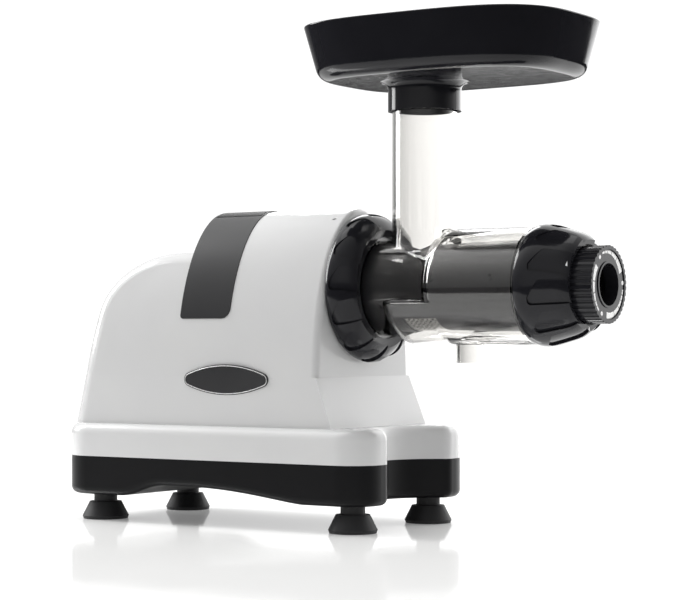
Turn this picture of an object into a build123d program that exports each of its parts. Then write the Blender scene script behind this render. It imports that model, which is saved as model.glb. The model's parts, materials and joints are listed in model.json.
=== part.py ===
from build123d import *

import os
from math import acos, atan2, copysign, cos, degrees, pi, radians, sin, tan

# Cold press juicer with one horizontal auger, in millimetres.
# +X runs along the auger towards the pulp outlet, +Y to the far side, +Z up.
# The origin lies on the table, under the middle of the appliance's length.

# ---- driving dimensions -------------------------------------------------------------------

# overall
overall_length = 469.0      # rear of the base to the face of the dial
overall_height = 394.0      # table to the hopper's rim
snout_reach = 217.0         # housing front to the face of the dial
axis_height = 190.0         # auger axis above the table
running_gap = 0.05          # radial clearance of a turning fit
free_gap = 0.3              # between pieces that never touch
seat_gap = 0.15             # round a cover in its recess
screw_gap = 0.15            # radial clearance round a screw

# base
base_width = 164.0
base_top = 80.0
seam_height = 53.0          # white skirt above, black pan below
skirt_wall = 3.0
skirt_edge = 8.5            # rounding along the skirt's top edge
toe_reach = 52.0            # toes in front of the housing
toe_corner = 26.0
toe_nose = 9.0              # rounding where a toe meets the cup notch
rear_corner = 30.0
notch_radius = 48.0
notch_depth = 30.0
pan_wall = 2.6
pan_low = 21.3              # belly line over the feet
pan_high = 31.0             # belly line between them
pan_edge = 6.0

# feet
foot_front = 26.0           # front feet, in front of the housing
foot_rear_inset = 31.0      # rear feet, from the base's rear
foot_half_track = 56.0
foot_radius = 19.2
foot_lip = 2.5
foot_cone_height = 14.3
foot_cone_radius = 13.3
foot_neck_radius = 9.6
foot_screw_radius = 2.0
foot_screw_head = 4.6
foot_screw_seat = 7.0       # screw head's face inside the foot
foot_boss_radius = 7.5
foot_boss_top = 46.0

# air slots under the fan
vent_count = 7
vent_pitch = 8.0
vent_length = 70.0
vent_width = 3.6

# screws that hold the base together
base_screw_radius = 1.8
base_screw_head = 3.4
base_screw_recess = 1.6
screw_half_track = 60.5
screw_front = 22.0          # behind the housing's front
screw_rear = 58.0           # in front of the housing's rear
screw_post_radius = 5.0
screw_post_height = 28.0
screw_web = 3.0             # rib from each post to the side wall
deck_margin = 18.0          # ledge of the skirt left under the housing

# housing
body_width = 140.0          # where the housing meets the base
shoulder_width = 136.0      # where the arch springs
roof_height = 254.0         # tall front section
rear_roof = 221.0           # lower rear section
body_wall = 3.4
rear_margin = 3.5           # base behind the housing's rear
spring_height = 119.4       # arch springs and apron begins here
apron_reach = 15.0
step_back = 121.5           # step between the two roofs, behind the front
rear_lean = 18.6            # how far the rear wall leans in up to rear_bend
rear_bend = 172.0
rear_crown = 78.0           # length of the curve from rear_bend to the roof
front_edge = 5.0
rear_edge = 16.0
mark_setback = 11.6         # oval dimple that marks the ring's locked position
mark_side = 25.1
mark_length = 4.0
mark_width = 2.4
mark_depth = 0.8

# handle
band_front = 86.8           # behind the housing's front
band_width = 49.4
band_foot = 166.0           # lower end of the band on each side
band_thickness = 2.4
band_proud = 0.6
band_front_corner = 8.0
band_rear_corner = 3.0
insert_half = 17.4
insert_depth = 1.2
insert_bed = 0.05           # clearance under the insert
insert_proud = 0.25
insert_end = 2.0            # band left at each end of the insert

# bayonet flange and locking ring
flange_radius = 49.0
flange_length = 16.0
flange_bore = 21.0
flange_screw_circle = 33.0
flange_screw_radius = 1.8
flange_screw_head = 3.6
flange_screw_recess = 5.0
flange_screw_length = 17.0
flange_boss_length = 9.0
lug_height = 3.0
lug_length = 4.0
lug_arc = 50.0
lug_count = 3
ring_radius = 58.6
ring_length = 23.5
ring_front_radius = 47.5
ring_lip_radius = 40.6
ring_lip_depth = 2.6
ring_rim = 1.6
ring_pockets = 13
ring_pocket_width = 19.5
ring_pocket_depth = 1.8
ring_pocket_start = 5.0
ring_pocket_full = 13.0

# drum
neck_bore = 35.1
neck_radius = 37.8
drum_bore = 38.0
drum_radius = 40.8
step_start = 77.0           # rounded shoulder from neck to chamber, in front of the housing
step_length = 10.0
chamber_radius = 45.0
chamber_bore = 42.2
trough_start = 38.0
trough_radius = 44.9
trough_top = 10.0           # trough's upper edge, below the axis
trough_rounding = 14.0
trough_brow = 3.2           # rounding along the trough's upper edge
drum_wall = 2.8
drum_lug_radius = 43.2
seal_radius = 14.0
seal_lip = 2.0
seal_face = 2.0
shaft_seal_width = 12.0
drum_end = 166.0
drum_flange_radius = 46.0
drum_flange = 3.6
chute_reach = 56.7          # chute axis, in front of the housing
chute_radius = 25.6
chute_bore = 22.6
chute_throat = 22.3         # narrower foot of the chute, below the pusher's reach
chute_guide_bottom = 236.0  # where the pusher's guide begins
chute_entry = 23.2          # hole in the hopper's floor
chute_top = 350.7
spout_reach = 99.6
spout_radius = 12.3
spout_bore = 9.8
spout_bottom = 131.0
spout_joint = 144.5         # spout's tube ends here, under the drum

# screen, mesh and auger
screen_radius = 34.8
screen_wall = 2.4
screen_start = 20.5
screen_end = 157.0
window_start = 53.0
window_length = 29.0
window_half_angle = 46.0
mesh_thickness = 0.8
auger_radius = 31.9
auger_start = 24.0
auger_end = 152.0
auger_root = 13.0
auger_root_front = 23.0
auger_flight = 6.5
auger_turns = 2.6
auger_nose = 14.0
auger_nose_end = 166.0
auger_taper = 8.0
auger_disc = 4.0
journal_radius = 9.0
drive_square = 11.0
drive_start = -4.0
journal_start = 14.3
drive_end = 40.0

# cap, nozzle and knob
cap_start = 160.0
cap_end = 200.5
cap_radius = 46.4
cap_front_radius = 35.0
cap_pockets = 11
cap_pocket_width = 19.0
cap_pocket_depth = 1.8
cap_pocket_start = 171.5
cap_pocket_full = 180.0
cap_seal_width = 2.0
nozzle_flange = 39.0
nozzle_wall = 4.0
nozzle_rim = 3.4
nozzle_cone_end = 190.0
nozzle_neck = 19.6
nozzle_bore = 15.9
nozzle_end = 205.5
knob_radius = 29.3
knob_start = 199.0
knob_clearance = 1.2        # round the knob, in the cap's front
knob_flutes = 40
knob_flute_radius = 1.35
knob_face_recess = 0.8
knob_face_rim = 1.6

# hopper
hopper_reach = 81.0         # hopper's middle, in front of the housing
hopper_half_length = 112.5
hopper_half_width = 82.6
hopper_floor_length = 101.0
hopper_floor_width = 73.0
hopper_power = 3.2          # superellipse exponent of the rim
hopper_wall = 2.6
hopper_bottom = 351.0
hopper_edge = 12.0
hopper_points = 40
collar_radius = 28.9
collar_bottom = 328.0
collar_flare = 6.5

# gearbox
pressure_angle = radians(25)
addendum = 0.9
dedendum = 1.15
backlash = 0.12
first_module = 1.0
second_module = 1.25
pinion_teeth = 12
wheel_teeth = 54
output_wheel_width = 12.0
idler_wheel_width = 9.0
wheel_gap = 4.0
gear_margin = 3.2           # from a gear's tips to the case
case_wall = 3.2
cover_plate = 4.0
case_flange = 5.0
gearbox_length = 44.0
gearbox_setback = 13.0      # cover's face behind the housing's front
shaft_radius = 9.0
bearing_radius = 15.0
bearing_width = 7.0
bearing_lip = 1.0
idler_shaft_radius = 4.4
bush_radius = 7.5
hub_radius = 13.5
hub_start = -11.0
hub_end = 13.5
hub_floor = 5.0
socket_gap = 0.15
wheel_web = 3.5
wheel_hub = 8.0
idler_wheel_rim = 22.0
output_hub = 14.0
output_wheel_rim = 28.0
flank_steps = 2
gearbox_ear = 6.0
gearbox_screw_head = 3.6
gearbox_screw_length = 17.0
gearbox_boss_radius = 5.0
gearbox_screw_radius = 1.8
gearbox_ear_top = (30.4, 224.0)
gearbox_ear_bottom = (25.8, 119.4)

# motor
motor_radius = 42.0
stator_length = 48.0
stator_bore = 23.6
air_gap = 0.5
bell_length = 19.0
bell_wall = 2.6
motor_shaft_radius = 4.0
motor_bearing_radius = 9.5
motor_bearing_width = 7.0
motor_bolt_circle = 36.5
motor_bolt_radius = 1.8
motor_bolt_head = 3.6
winding_radius = 34.0
winding_bore = 25.0
winding_length = 10.0
winding_rounding = 3.0
bell_vents = 8
bell_vent_circle = 24.0
bell_vent_radius = 5.0
fan_radius = 33.0
fan_blades = 7
fan_blade = 1.6
fan_hub = 8.0
fan_width = 12.0
fan_clearance = 4.0
capacitor_radius = 14.0
capacitor_length = 52.0
capacitor_x = -80.0
capacitor_y = 38.0

# rear fittings
switch_height = 146.0
switch_width = 25.0
switch_length = 34.0
bezel_lip = 2.5
bezel_proud = 1.8
bezel_depth = 16.0
bezel_back = 2.0
rocker_pivot_depth = 3.0
rocker_reach = 13.0
rocker_half_width = 8.3
rocker_proud = 3.4
rocker_dip = 1.4
rocker_root = 6.0
rocker_pin = 1.5
rocker_pin_length = 1.0
inlet_height = 98.0
inlet_offset = -34.0
inlet_bore = 3.6
inlet_neck = 6.5
inlet_flange = 9.0
inlet_proud = 3.0
inlet_depth = 7.0

# ---- places worked out from them ----------------------------------------------------------

front_x = overall_length / 2 - snout_reach
rear_x = -overall_length / 2
toe_x = front_x + toe_reach
notch_x = toe_x - notch_depth + notch_radius
vent_x = rear_x + 117       # middle of the flat of the belly
body_rear_x = rear_x + rear_margin
step_x = front_x - step_back
band_rear_x = front_x - band_front - band_width
insert_length = band_width - 2 * insert_end
foot_places = [
    (x, side * foot_half_track)
    for x in (front_x + foot_front, rear_x + foot_rear_inset)
    for side in (-1, 1)
]
screw_places = [
    (x, side * screw_half_track)
    for x in (front_x - screw_front, body_rear_x + screw_rear)
    for side in (-1, 1)
]

auger_axis = Axis((0, 0, axis_height), (1, 0, 0))
stage_one = first_module * (pinion_teeth + wheel_teeth) / 2
stage_two = second_module * (pinion_teeth + wheel_teeth) / 2
idler_height = axis_height - stage_two
motor_height = idler_height - stage_one

gearbox_front = front_x - gearbox_setback
gearbox_rear = gearbox_front - gearbox_length
idler_wheel_x = gearbox_rear + bearing_lip + bearing_width + 1.5
output_wheel_x = idler_wheel_x + idler_wheel_width + wheel_gap
front_bell_x = gearbox_rear - bell_length
stator_x = front_bell_x - stator_length
rear_bell_x = stator_x - bell_length
fan_x = rear_bell_x - fan_clearance - fan_width - fan_blade
motor_bolt_places = [
    (motor_bolt_circle * cos(angle), motor_height + motor_bolt_circle * sin(angle))
    for angle in (radians(45), radians(135), radians(225), radians(315))
]


def at(reach):
    """X of a point that lies this far in front of the housing."""
    return front_x + reach


def across(x, height=0.0):
    """Plane square to the auger, with local x along +Y and local y up from this height."""
    return Plane(origin=(x, 0, height), x_dir=(0, 1, 0), z_dir=(1, 0, 0))


def rod(start, end, radius, height=axis_height, bore=0.0):
    """Round bar, or tube, along X between two places."""
    with BuildPart() as bar:
        with BuildSketch(across(start, height)):
            Circle(radius)
            if bore:
                Circle(bore, mode=Mode.SUBTRACT)
        extrude(amount=end - start)
    return bar.part


def turned(points, height=axis_height):
    """Solid turned about X from a closed outline of (x, radius) points."""
    with BuildPart() as form:
        with BuildSketch(Plane.XZ.offset(0)):
            with BuildLine():
                Polyline(*[(x, height + radius) for x, radius in points], close=True)
            make_face()
        revolve(axis=Axis((0, 0, height), (1, 0, 0)))
    return form.part


# ---- base ---------------------------------------------------------------------------------

def base_outline(height, inset=0.0):
    """Plan of the base: a rounded block with the cup notch between its two toes."""
    with BuildSketch(Plane.XY.offset(height)) as outline:
        with Locations(((rear_x + toe_x) / 2, 0)):
            Rectangle(toe_x - rear_x - 2 * inset, base_width - 2 * inset)
        with Locations((notch_x, 0)):
            Circle(notch_radius + inset, mode=Mode.SUBTRACT)
        fillet(outline.vertices().group_by(Axis.X)[0], rear_corner - inset)
        toes = outline.vertices().group_by(Axis.X)[-1].sort_by(lambda v: abs(v.Y))
        fillet(toes[:2], toe_nose - inset)
        toes = outline.vertices().group_by(Axis.Y)
        fillet([toes[0].sort_by(Axis.X)[-1], toes[-1].sort_by(Axis.X)[-1]], toe_corner - inset)
    return outline.sketch


def pan_form(inset, lift):
    """The pan's outline under its arched belly line, drawn in by inset and raised by lift."""
    low = pan_low + lift
    high = pan_high + lift
    kink = front_x - 5
    with BuildPart() as form:
        extrude(base_outline(0, inset), amount=seam_height)
        with BuildSketch(Plane.XZ):
            with BuildLine():
                front = Line((toe_x, low), (kink, low))
                rise = Bezier(front @ 1, (kink - 16, low), (kink - 60, high), (kink - 112, high))
                belly = Line(rise @ 1, (rear_x + 112, high))
                fall = Bezier(belly @ 1, (rear_x + 88, high), (rear_x + 84, low), (rear_x + 62, low))
                rear = Line(fall @ 1, (rear_x, low))
                Polyline(rear @ 1, (rear_x, seam_height), (toe_x, seam_height), (toe_x, low))
            make_face()
        extrude(amount=base_width, both=True, mode=Mode.INTERSECT)
    return form.part


with BuildPart() as base_skirt:
    extrude(base_outline(seam_height), amount=base_top - seam_height)
    fillet(base_skirt.edges().group_by(Axis.Z)[-1], skirt_edge)
    extrude(
        base_outline(seam_height, skirt_wall),
        amount=base_top - seam_height - skirt_wall,
        mode=Mode.SUBTRACT,
    )
    ceiling = base_skirt.faces().filter_by(Plane.XY).sort_by(Axis.Z)[-2]
    fillet(ceiling.edges(), skirt_edge - skirt_wall)
    with BuildSketch(Plane.XY.offset(base_top - skirt_wall)):
        with Locations(((body_rear_x + front_x) / 2, 0)):
            RectangleRounded(front_x - body_rear_x - 2 * deck_margin, body_width - 2 * deck_margin, 8)
    extrude(amount=skirt_wall, mode=Mode.SUBTRACT)
    with Locations(*[(x, y, base_top) for x, y in screw_places]):
        Hole(base_screw_radius + screw_gap)

def screw_posts(radius):
    """Posts for the base screws, from inside the pan's floor up to the deck."""
    with BuildPart() as posts:
        with BuildSketch():
            with Locations(*screw_places):
                Circle(radius)
        extrude(amount=seam_height)
        add(pan_form(1, 1), mode=Mode.INTERSECT)
        with BuildSketch(Plane.XY.offset(seam_height - 1)):
            with Locations(*screw_places):
                Circle(radius)
        extrude(amount=base_top - skirt_wall - seam_height + 1)
    return posts.part


pan_outside = pan_form(0, 0)
pan_inside = pan_form(pan_wall, pan_wall)
pan_posts = screw_posts(screw_post_radius)

with BuildPart() as base_pan:
    add(pan_outside)
    crossing = base_pan.edges().filter_by(Axis.Y).filter_by(lambda e: e.center().X > rear_x + 1)
    rim = base_pan.edges().filter_by(lambda e: e.center().Z < seam_height - 1) - crossing
    fillet(rim - base_pan.edges().filter_by(Axis.Z), pan_edge)
    add(pan_inside, mode=Mode.SUBTRACT)
    with BuildSketch(Plane.XY.offset(pan_low + 1)):
        with Locations(*foot_places):
            Circle(foot_boss_radius)
    extrude(amount=foot_boss_top - pan_low - 1)
    add(pan_posts)
    with Locations(*[(x, y, pan_low) for x, y in foot_places]):
        Hole(foot_screw_radius + screw_gap)
    with Locations(*[(x, y, base_top) for x, y in screw_places]):
        Hole(base_screw_radius + screw_gap)
    with BuildSketch():
        with Locations(*screw_places):
            Circle(base_screw_head + screw_gap)
    extrude(amount=pan_high + base_screw_recess, mode=Mode.SUBTRACT)
    with BuildSketch():
        with Locations((vent_x, 0)):
            with GridLocations(vent_pitch, 0, vent_count, 1):
                SlotOverall(vent_length, vent_width, rotation=90)
    extrude(amount=pan_high + pan_wall + 1, mode=Mode.SUBTRACT)


def foot_form():
    """One rubber foot about the Z axis, with the screw's seat inside."""
    hole = foot_screw_radius + screw_gap
    pocket = foot_screw_head + screw_gap
    with BuildPart() as foot:
        with BuildSketch(Plane.XZ):
            with BuildLine():
                Polyline(
                    (hole, foot_screw_seat),
                    (hole, pan_low),
                    (foot_neck_radius, pan_low),
                    (foot_neck_radius, foot_cone_height),
                    (foot_cone_radius, foot_cone_height),
                    (foot_radius, foot_lip),
                    (foot_radius - 0.8, 0),
                    (pocket, 0),
                    (pocket, foot_screw_seat),
                    close=True,
                )
            make_face()
        revolve(axis=Axis.Z)
    return foot.part


def screw_form(radius, length, head_radius, head_height):
    """Pan-head screw with its head's face on the origin and its shank along +Z."""
    with BuildPart() as screw:
        with BuildSketch():
            Circle(radius)
        extrude(amount=length)
        with BuildSketch():
            Circle(head_radius)
        extrude(amount=-head_height)
        fillet(screw.faces().sort_by(Axis.Z)[0].edges(), head_height / 2)
    return screw.part


one_foot = foot_form()
one_foot_screw = screw_form(foot_screw_radius, foot_boss_top - foot_screw_seat - 4, foot_screw_head, 2.6)
one_base_screw = screw_form(
    base_screw_radius,
    base_top + screw_post_height - pan_high - base_screw_recess - 6,
    base_screw_head,
    1.5,
)

with BuildPart() as rubber_feet:
    with Locations(*foot_places):
        add(one_foot)

with BuildPart() as foot_screws:
    with Locations(*[(x, y, foot_screw_seat) for x, y in foot_places]):
        add(one_foot_screw)

with BuildPart() as base_screws:
    with Locations(*[(x, y, pan_high + base_screw_recess) for x, y in screw_places]):
        add(one_base_screw)


# ---- housing ------------------------------------------------------------------------------

def arch_outline(x, inset=0.0):
    """Cross-section of the housing: leaning sides under an elliptical arch."""
    half = body_width / 2 - inset
    shoulder = shoulder_width / 2 - inset
    rise = roof_height - inset - spring_height
    with BuildSketch(across(x)) as outline:
        with BuildLine():
            arch = EllipticalCenterArc((0, spring_height), shoulder, rise, arc_size=180)
            Polyline(arch @ 1, (-half, base_top), (half, base_top), arch @ 0)
        make_face()
    return outline.sketch


def side_outline(inset=0.0):
    """The housing from the side: two roofs with a step, and the leaning rear."""
    rear = body_rear_x + inset
    low_roof = rear_roof - inset
    lean = rear_lean / (rear_bend - base_top)
    crown_rise = low_roof - rear_bend
    crown_front = rear + rear_lean + rear_crown
    pull = 0.55                                 # a quarter ellipse's handle, as a share of its side
    with BuildSketch(Plane.XZ) as outline:
        with BuildLine():
            crown = Bezier(
                (crown_front, low_roof),
                (crown_front - pull * rear_crown, low_roof),
                (rear + rear_lean + lean * pull * crown_rise, rear_bend + pull * crown_rise),
                (rear + rear_lean, rear_bend),
            )
            Polyline(
                crown @ 1,
                (rear, base_top),
                (front_x, base_top),
                (front_x, roof_height + 1),
                (step_x + inset, roof_height + 1),
                (step_x + inset, low_roof),
                crown @ 0,
            )
        make_face()
    return outline.sketch


def apron_form(inset=0.0):
    """Wedge that slopes from the front wall out to the base."""
    front = front_x - inset
    with BuildPart() as apron:
        extrude(arch_outline(front - front_edge, inset), amount=front_edge + apron_reach)
        with BuildSketch(Plane.XZ):
            with BuildLine():
                Polyline(
                    (front - front_edge, base_top),
                    (front + apron_reach, base_top),
                    (front, spring_height),
                    (front - front_edge, spring_height),
                    close=True,
                )
            make_face()
        extrude(amount=base_width, both=True, mode=Mode.INTERSECT)
    return apron.part


def housing_form(inset=0.0):
    """Solid between the arch and the side outline, both drawn in by inset, with the apron."""
    apron = apron_form(inset)
    with BuildPart() as form:
        extrude(arch_outline(rear_x, inset), amount=front_x - inset - rear_x)
        front_rim = form.edges().group_by(Axis.X)[-1] - form.edges().group_by(Axis.Z)[0]
        fillet(front_rim, front_edge - inset)
        extrude(side_outline(inset), amount=base_width, both=True, mode=Mode.INTERSECT)
        rear_rim = form.edges().filter_by(
            lambda e: e.center().X < step_x - 1 and abs(e.center().Y) > 25 and e.center().Z > base_top + 1
        )
        fillet(rear_rim, rear_edge - inset)
        add(apron)
    return form.part


def band_form(outside, inside, margin=0.0):
    """Saddle over the arch, from one offset above its surface to one below it."""
    rear = band_rear_x - margin
    length = band_width + 2 * margin
    with BuildPart() as band:
        extrude(arch_outline(rear, -outside), amount=length)
        extrude(arch_outline(rear, inside), amount=length, mode=Mode.SUBTRACT)
        split(bisect_by=Plane.XY.offset(band_foot - margin), keep=Keep.TOP)
        corners = band.edges().filter_by(Axis.Y).group_by(Axis.Z)[0]
        fillet(corners.group_by(Axis.X)[0], band_rear_corner)
        corners = band.edges().filter_by(Axis.Y).group_by(Axis.X)[-1]
        fillet(corners, band_front_corner)
    return band.part


rear_tilt = atan2(rear_lean, rear_bend - base_top)


def rear_wall(height, side=0.0):
    """Plane on the leaning rear wall, facing out, with local y up the wall."""
    x = body_rear_x + rear_lean * (height - base_top) / (rear_bend - base_top)
    return Plane(origin=(x, side, height), x_dir=(0, -1, 0), z_dir=(-cos(rear_tilt), 0, sin(rear_tilt)))


housing_outside = housing_form()
housing_cavity = housing_form(body_wall)
band_seat = band_form(2, band_thickness - band_proud + seat_gap, seat_gap)


def front_boss(y, z, radius, start, bore):
    """Boss on the inside of the housing's front wall, with a blind screw hole from its end."""
    with BuildPart() as boss:
        with BuildSketch(across(start, z)):
            with Locations((y, 0)):
                Circle(radius)
                Circle(bore, mode=Mode.SUBTRACT)
        extrude(amount=front_x - body_wall / 2 - start)
    return boss.part


flange_screw_places = [
    (flange_screw_circle * cos(angle), axis_height + flange_screw_circle * sin(angle))
    for angle in (radians(90), radians(210), radians(330))
]
gearbox_screw_places = [
    (side * y, z) for y, z in (gearbox_ear_top, gearbox_ear_bottom) for side in (-1, 1)
]
front_bosses = [
    front_boss(y, z, gearbox_boss_radius, gearbox_front, gearbox_screw_radius + screw_gap)
    for y, z in gearbox_screw_places
] + [
    front_boss(y, z, gearbox_boss_radius, front_x - flange_boss_length, flange_screw_radius + screw_gap)
    for y, z in flange_screw_places
]
housing_posts = [
    Pos(x, y, base_top) * Cylinder(
        screw_post_radius, screw_post_height, align=(Align.CENTER, Align.CENTER, Align.MIN)
    )
    for x, y in screw_places
]
post_webs = [
    Pos(x, (y + side_wall) / 2, base_top) * Box(
        screw_web, abs(side_wall - y), screw_post_height, align=(Align.CENTER, Align.CENTER, Align.MIN)
    )
    for x, y in screw_places
    for side_wall in [copysign(body_width / 2 - body_wall, y)]
]

arch_rise = roof_height - spring_height
arch_half = shoulder_width / 2
mark_height = spring_height + arch_rise * (1 - (mark_side / arch_half) ** 2) ** 0.5
mark_normal = (0, -mark_side / arch_half**2, (mark_height - spring_height) / arch_rise**2)
mark_plane = Plane((front_x - mark_setback, -mark_side, mark_height), x_dir=(1, 0, 0), z_dir=mark_normal)

with BuildPart() as motor_housing:
    add(housing_outside)
    add(housing_cavity, mode=Mode.SUBTRACT)
    add(band_seat, mode=Mode.SUBTRACT)
    add(front_bosses)
    add(housing_posts)
    add(post_webs)
    with Locations(*[Location((x, y, base_top), (180, 0, 0)) for x, y in screw_places]):
        Hole(base_screw_radius + screw_gap, depth=screw_post_height - 4)
    with BuildSketch(across(front_x)):
        with Locations((0, axis_height)):
            Circle(flange_bore)
        with Locations(*flange_screw_places):
            Circle(flange_screw_radius + screw_gap)
    extrude(amount=-body_wall - 2, mode=Mode.SUBTRACT)
    with BuildSketch(mark_plane):
        Ellipse(mark_length / 2, mark_width / 2)
    extrude(amount=mark_depth, both=True, mode=Mode.SUBTRACT)
    with BuildSketch(rear_wall(switch_height)):
        RectangleRounded(switch_width - 2 * bezel_lip, switch_length - 2 * bezel_lip, 2)
    extrude(amount=body_wall * 2, both=True, mode=Mode.SUBTRACT)
    with BuildSketch(rear_wall(inlet_height, inlet_offset)):
        Circle(inlet_neck + seat_gap)
    extrude(amount=body_wall * 2, both=True, mode=Mode.SUBTRACT)


# ---- handle band --------------------------------------------------------------------------

def insert_form(outside, inside, margin):
    """Strip along the top of the band."""
    with BuildPart() as strip:
        extrude(arch_outline(band_rear_x + insert_end - margin, -outside), amount=insert_length + 2 * margin)
        extrude(
            arch_outline(band_rear_x, inside),
            amount=band_width,
            mode=Mode.SUBTRACT,
        )
        with BuildSketch():
            with Locations((band_rear_x + band_width / 2, 0)):
                Rectangle(band_width, 2 * (insert_half + margin))
        extrude(amount=overall_height, mode=Mode.INTERSECT)
        with BuildSketch(Plane.XY.offset(spring_height)):
            with Locations((band_rear_x + band_width / 2, 0)):
                Rectangle(band_width, body_width)
        extrude(amount=overall_height, mode=Mode.INTERSECT)
    return strip.part


band_blank = band_form(band_proud, band_thickness - band_proud)
insert_blank = insert_form(band_proud + insert_proud, insert_depth - insert_bed - band_proud, 0.0)
insert_seat = insert_form(band_proud + 1, insert_depth - band_proud, seat_gap)

with BuildPart() as handle_band:
    add(band_blank)
    add(insert_seat, mode=Mode.SUBTRACT)

with BuildPart() as handle_insert:
    add(insert_blank)


# ---- bayonet flange and locking ring ------------------------------------------------------

def lug_ring(start, end, inner, outer):
    """Three bayonet lugs between two radii, all in one group of solids."""
    reach = 2 * outer
    half = radians(lug_arc / 2)
    with BuildPart() as lugs:
        with BuildSketch(across(start, axis_height)):
            with PolarLocations(0, lug_count, start_angle=90):
                with BuildSketch(mode=Mode.PRIVATE) as sector:
                    with BuildLine():
                        Polyline(
                            (0, 0),
                            (reach * cos(half), -reach * sin(half)),
                            (reach * cos(half), reach * sin(half)),
                            close=True,
                        )
                    make_face()
                add(sector.sketch)
            Circle(outer, mode=Mode.INTERSECT)
            Circle(inner, mode=Mode.SUBTRACT)
        extrude(amount=end - start)
    return lugs.part


def grip_pockets(outside, radius, plan, width, depth, count):
    """Saw-tooth thumb pockets: each floor is the outside moved sideways, deepest along one edge."""
    span = width / radius
    shift = depth / sin(span)
    floor = outside.moved(Location((0, shift * cos(span / 2), -shift * sin(span / 2))))
    with BuildPart() as pocket:
        with BuildSketch(Plane.XY.offset(axis_height + radius * 0.6)):
            add(plan)
        extrude(amount=radius)
        add(floor, mode=Mode.SUBTRACT)
    return [pocket.part.rotate(auger_axis, 360 / count * turn) for turn in range(count)]


def pocket_plan(start, full_from, end, width, corner):
    """A pocket seen from above: straight deep edge, slanted far edge, rounded rear end."""
    with BuildSketch() as plan:
        with BuildLine():
            Polyline(
                (at(start), -width / 2),
                (at(end), -width / 2),
                (at(end), width / 2),
                (at(full_from), width / 2),
                (at(start), -width / 2 + 2 * corner),
                close=True,
            )
        make_face()
        rear = plan.vertices().group_by(Axis.X)[0]
        fillet(rear, corner)
        shoulder = plan.vertices().group_by(Axis.Y)[-1].sort_by(Axis.X)[0]
        fillet(shoulder, corner)
    return plan.sketch


flange_lugs = lug_ring(
    at(flange_length - lug_length), at(flange_length), flange_radius - lug_height - 1, flange_radius
)

with BuildPart() as lock_flange:
    with BuildSketch(across(front_x, axis_height)):
        Circle(flange_radius - lug_height)
        Circle(flange_bore, mode=Mode.SUBTRACT)
    extrude(amount=flange_length)
    add(flange_lugs)
    with Locations(*[
        Location((at(flange_length), y, z), (0, 90, 0)) for y, z in flange_screw_places
    ]):
        CounterBoreHole(
            flange_screw_radius + screw_gap, flange_screw_head + screw_gap, flange_screw_recess
        )

one_flange_screw = screw_form(flange_screw_radius, flange_screw_length, flange_screw_head, 2.4)

with BuildPart() as flange_screws:
    with Locations(*[
        Location((at(flange_length - flange_screw_recess), y, z), (0, -90, 0))
        for y, z in flange_screw_places
    ]):
        add(one_flange_screw)

ring_rear = free_gap + 0.1
ring_bore = flange_radius + running_gap + 0.05
ring_lip = flange_length + drum_flange + 2 * free_gap

with BuildPart() as ring_blank:
    with BuildSketch(Plane.XZ):
        with BuildLine():
            crown = Spline(
                (at(ring_rear), axis_height + ring_radius - 2.0),
                (at(3.4), axis_height + ring_radius),
                (at(ring_length * 0.6), axis_height + ring_radius - 1.3),
                (at(ring_length * 0.87), axis_height + ring_radius - 6.0),
                (at(ring_length), axis_height + ring_front_radius),
            )
            Polyline(
                crown @ 1,
                (at(ring_length), axis_height + ring_front_radius - ring_rim),
                (at(ring_lip + ring_lip_depth), axis_height + ring_lip_radius),
                (at(ring_lip), axis_height + ring_lip_radius),
                (at(ring_lip), axis_height),
                (at(ring_rear), axis_height),
                crown @ 0,
            )
        make_face()
    revolve(axis=auger_axis)

ring_lugs = lug_ring(
    at(flange_length - 2 * lug_length - free_gap),
    at(flange_length - lug_length - free_gap),
    flange_radius - lug_height + free_gap,
    ring_bore + 1,
)
ring_bore_form = rod(at(ring_rear), at(ring_lip), ring_bore)
ring_plan = pocket_plan(ring_pocket_start, ring_pocket_full, 2 * ring_length, ring_pocket_width, 3.5)
ring_cuts = grip_pockets(
    ring_blank.part, ring_radius, ring_plan, ring_pocket_width, ring_pocket_depth, ring_pockets
)

with BuildPart() as locking_ring:
    add(ring_blank.part)
    add(ring_bore_form, mode=Mode.SUBTRACT)
    add(ring_lugs)
    add(ring_cuts, mode=Mode.SUBTRACT)
    with BuildSketch(across(at(ring_rear), axis_height)):
        Circle(ring_lip_radius)
    extrude(amount=ring_length, mode=Mode.SUBTRACT)


# ---- drum, seal and screen ----------------------------------------------------------------

drum_back = flange_length + free_gap
neck_start = drum_back + drum_flange
step_end = step_start + step_length
chamber_end = cap_start - free_gap
trough_blank = rod(at(trough_start), at(step_end), trough_radius)
trough_hollow = rod(at(trough_start + drum_wall), at(step_end + 5), trough_radius - drum_wall)
drum_lugs = lug_ring(at(drum_end - lug_length), at(drum_end), drum_radius - 1, drum_lug_radius)


def trough_form(blank, rounding, top, brow):
    """Lower half of a round trough with a rounded rear end, cut off level and rounded at the top."""
    with BuildPart() as trough:
        add(blank)
        fillet(trough.edges().filter_by(GeomType.CIRCLE).group_by(Axis.X)[0], rounding)
        split(bisect_by=Plane.XY.offset(axis_height - top), keep=Keep.BOTTOM)
        rim = trough.faces().sort_by(Axis.Z)[-1].edges().sort_by(Axis.X)[:-1]
        fillet(rim, brow)
    return trough.part


trough_outside = trough_form(trough_blank, trough_rounding, trough_top, trough_brow)
trough_inside = trough_form(
    trough_hollow, trough_rounding - drum_wall, trough_top + drum_wall, trough_brow / 4
)

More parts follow.
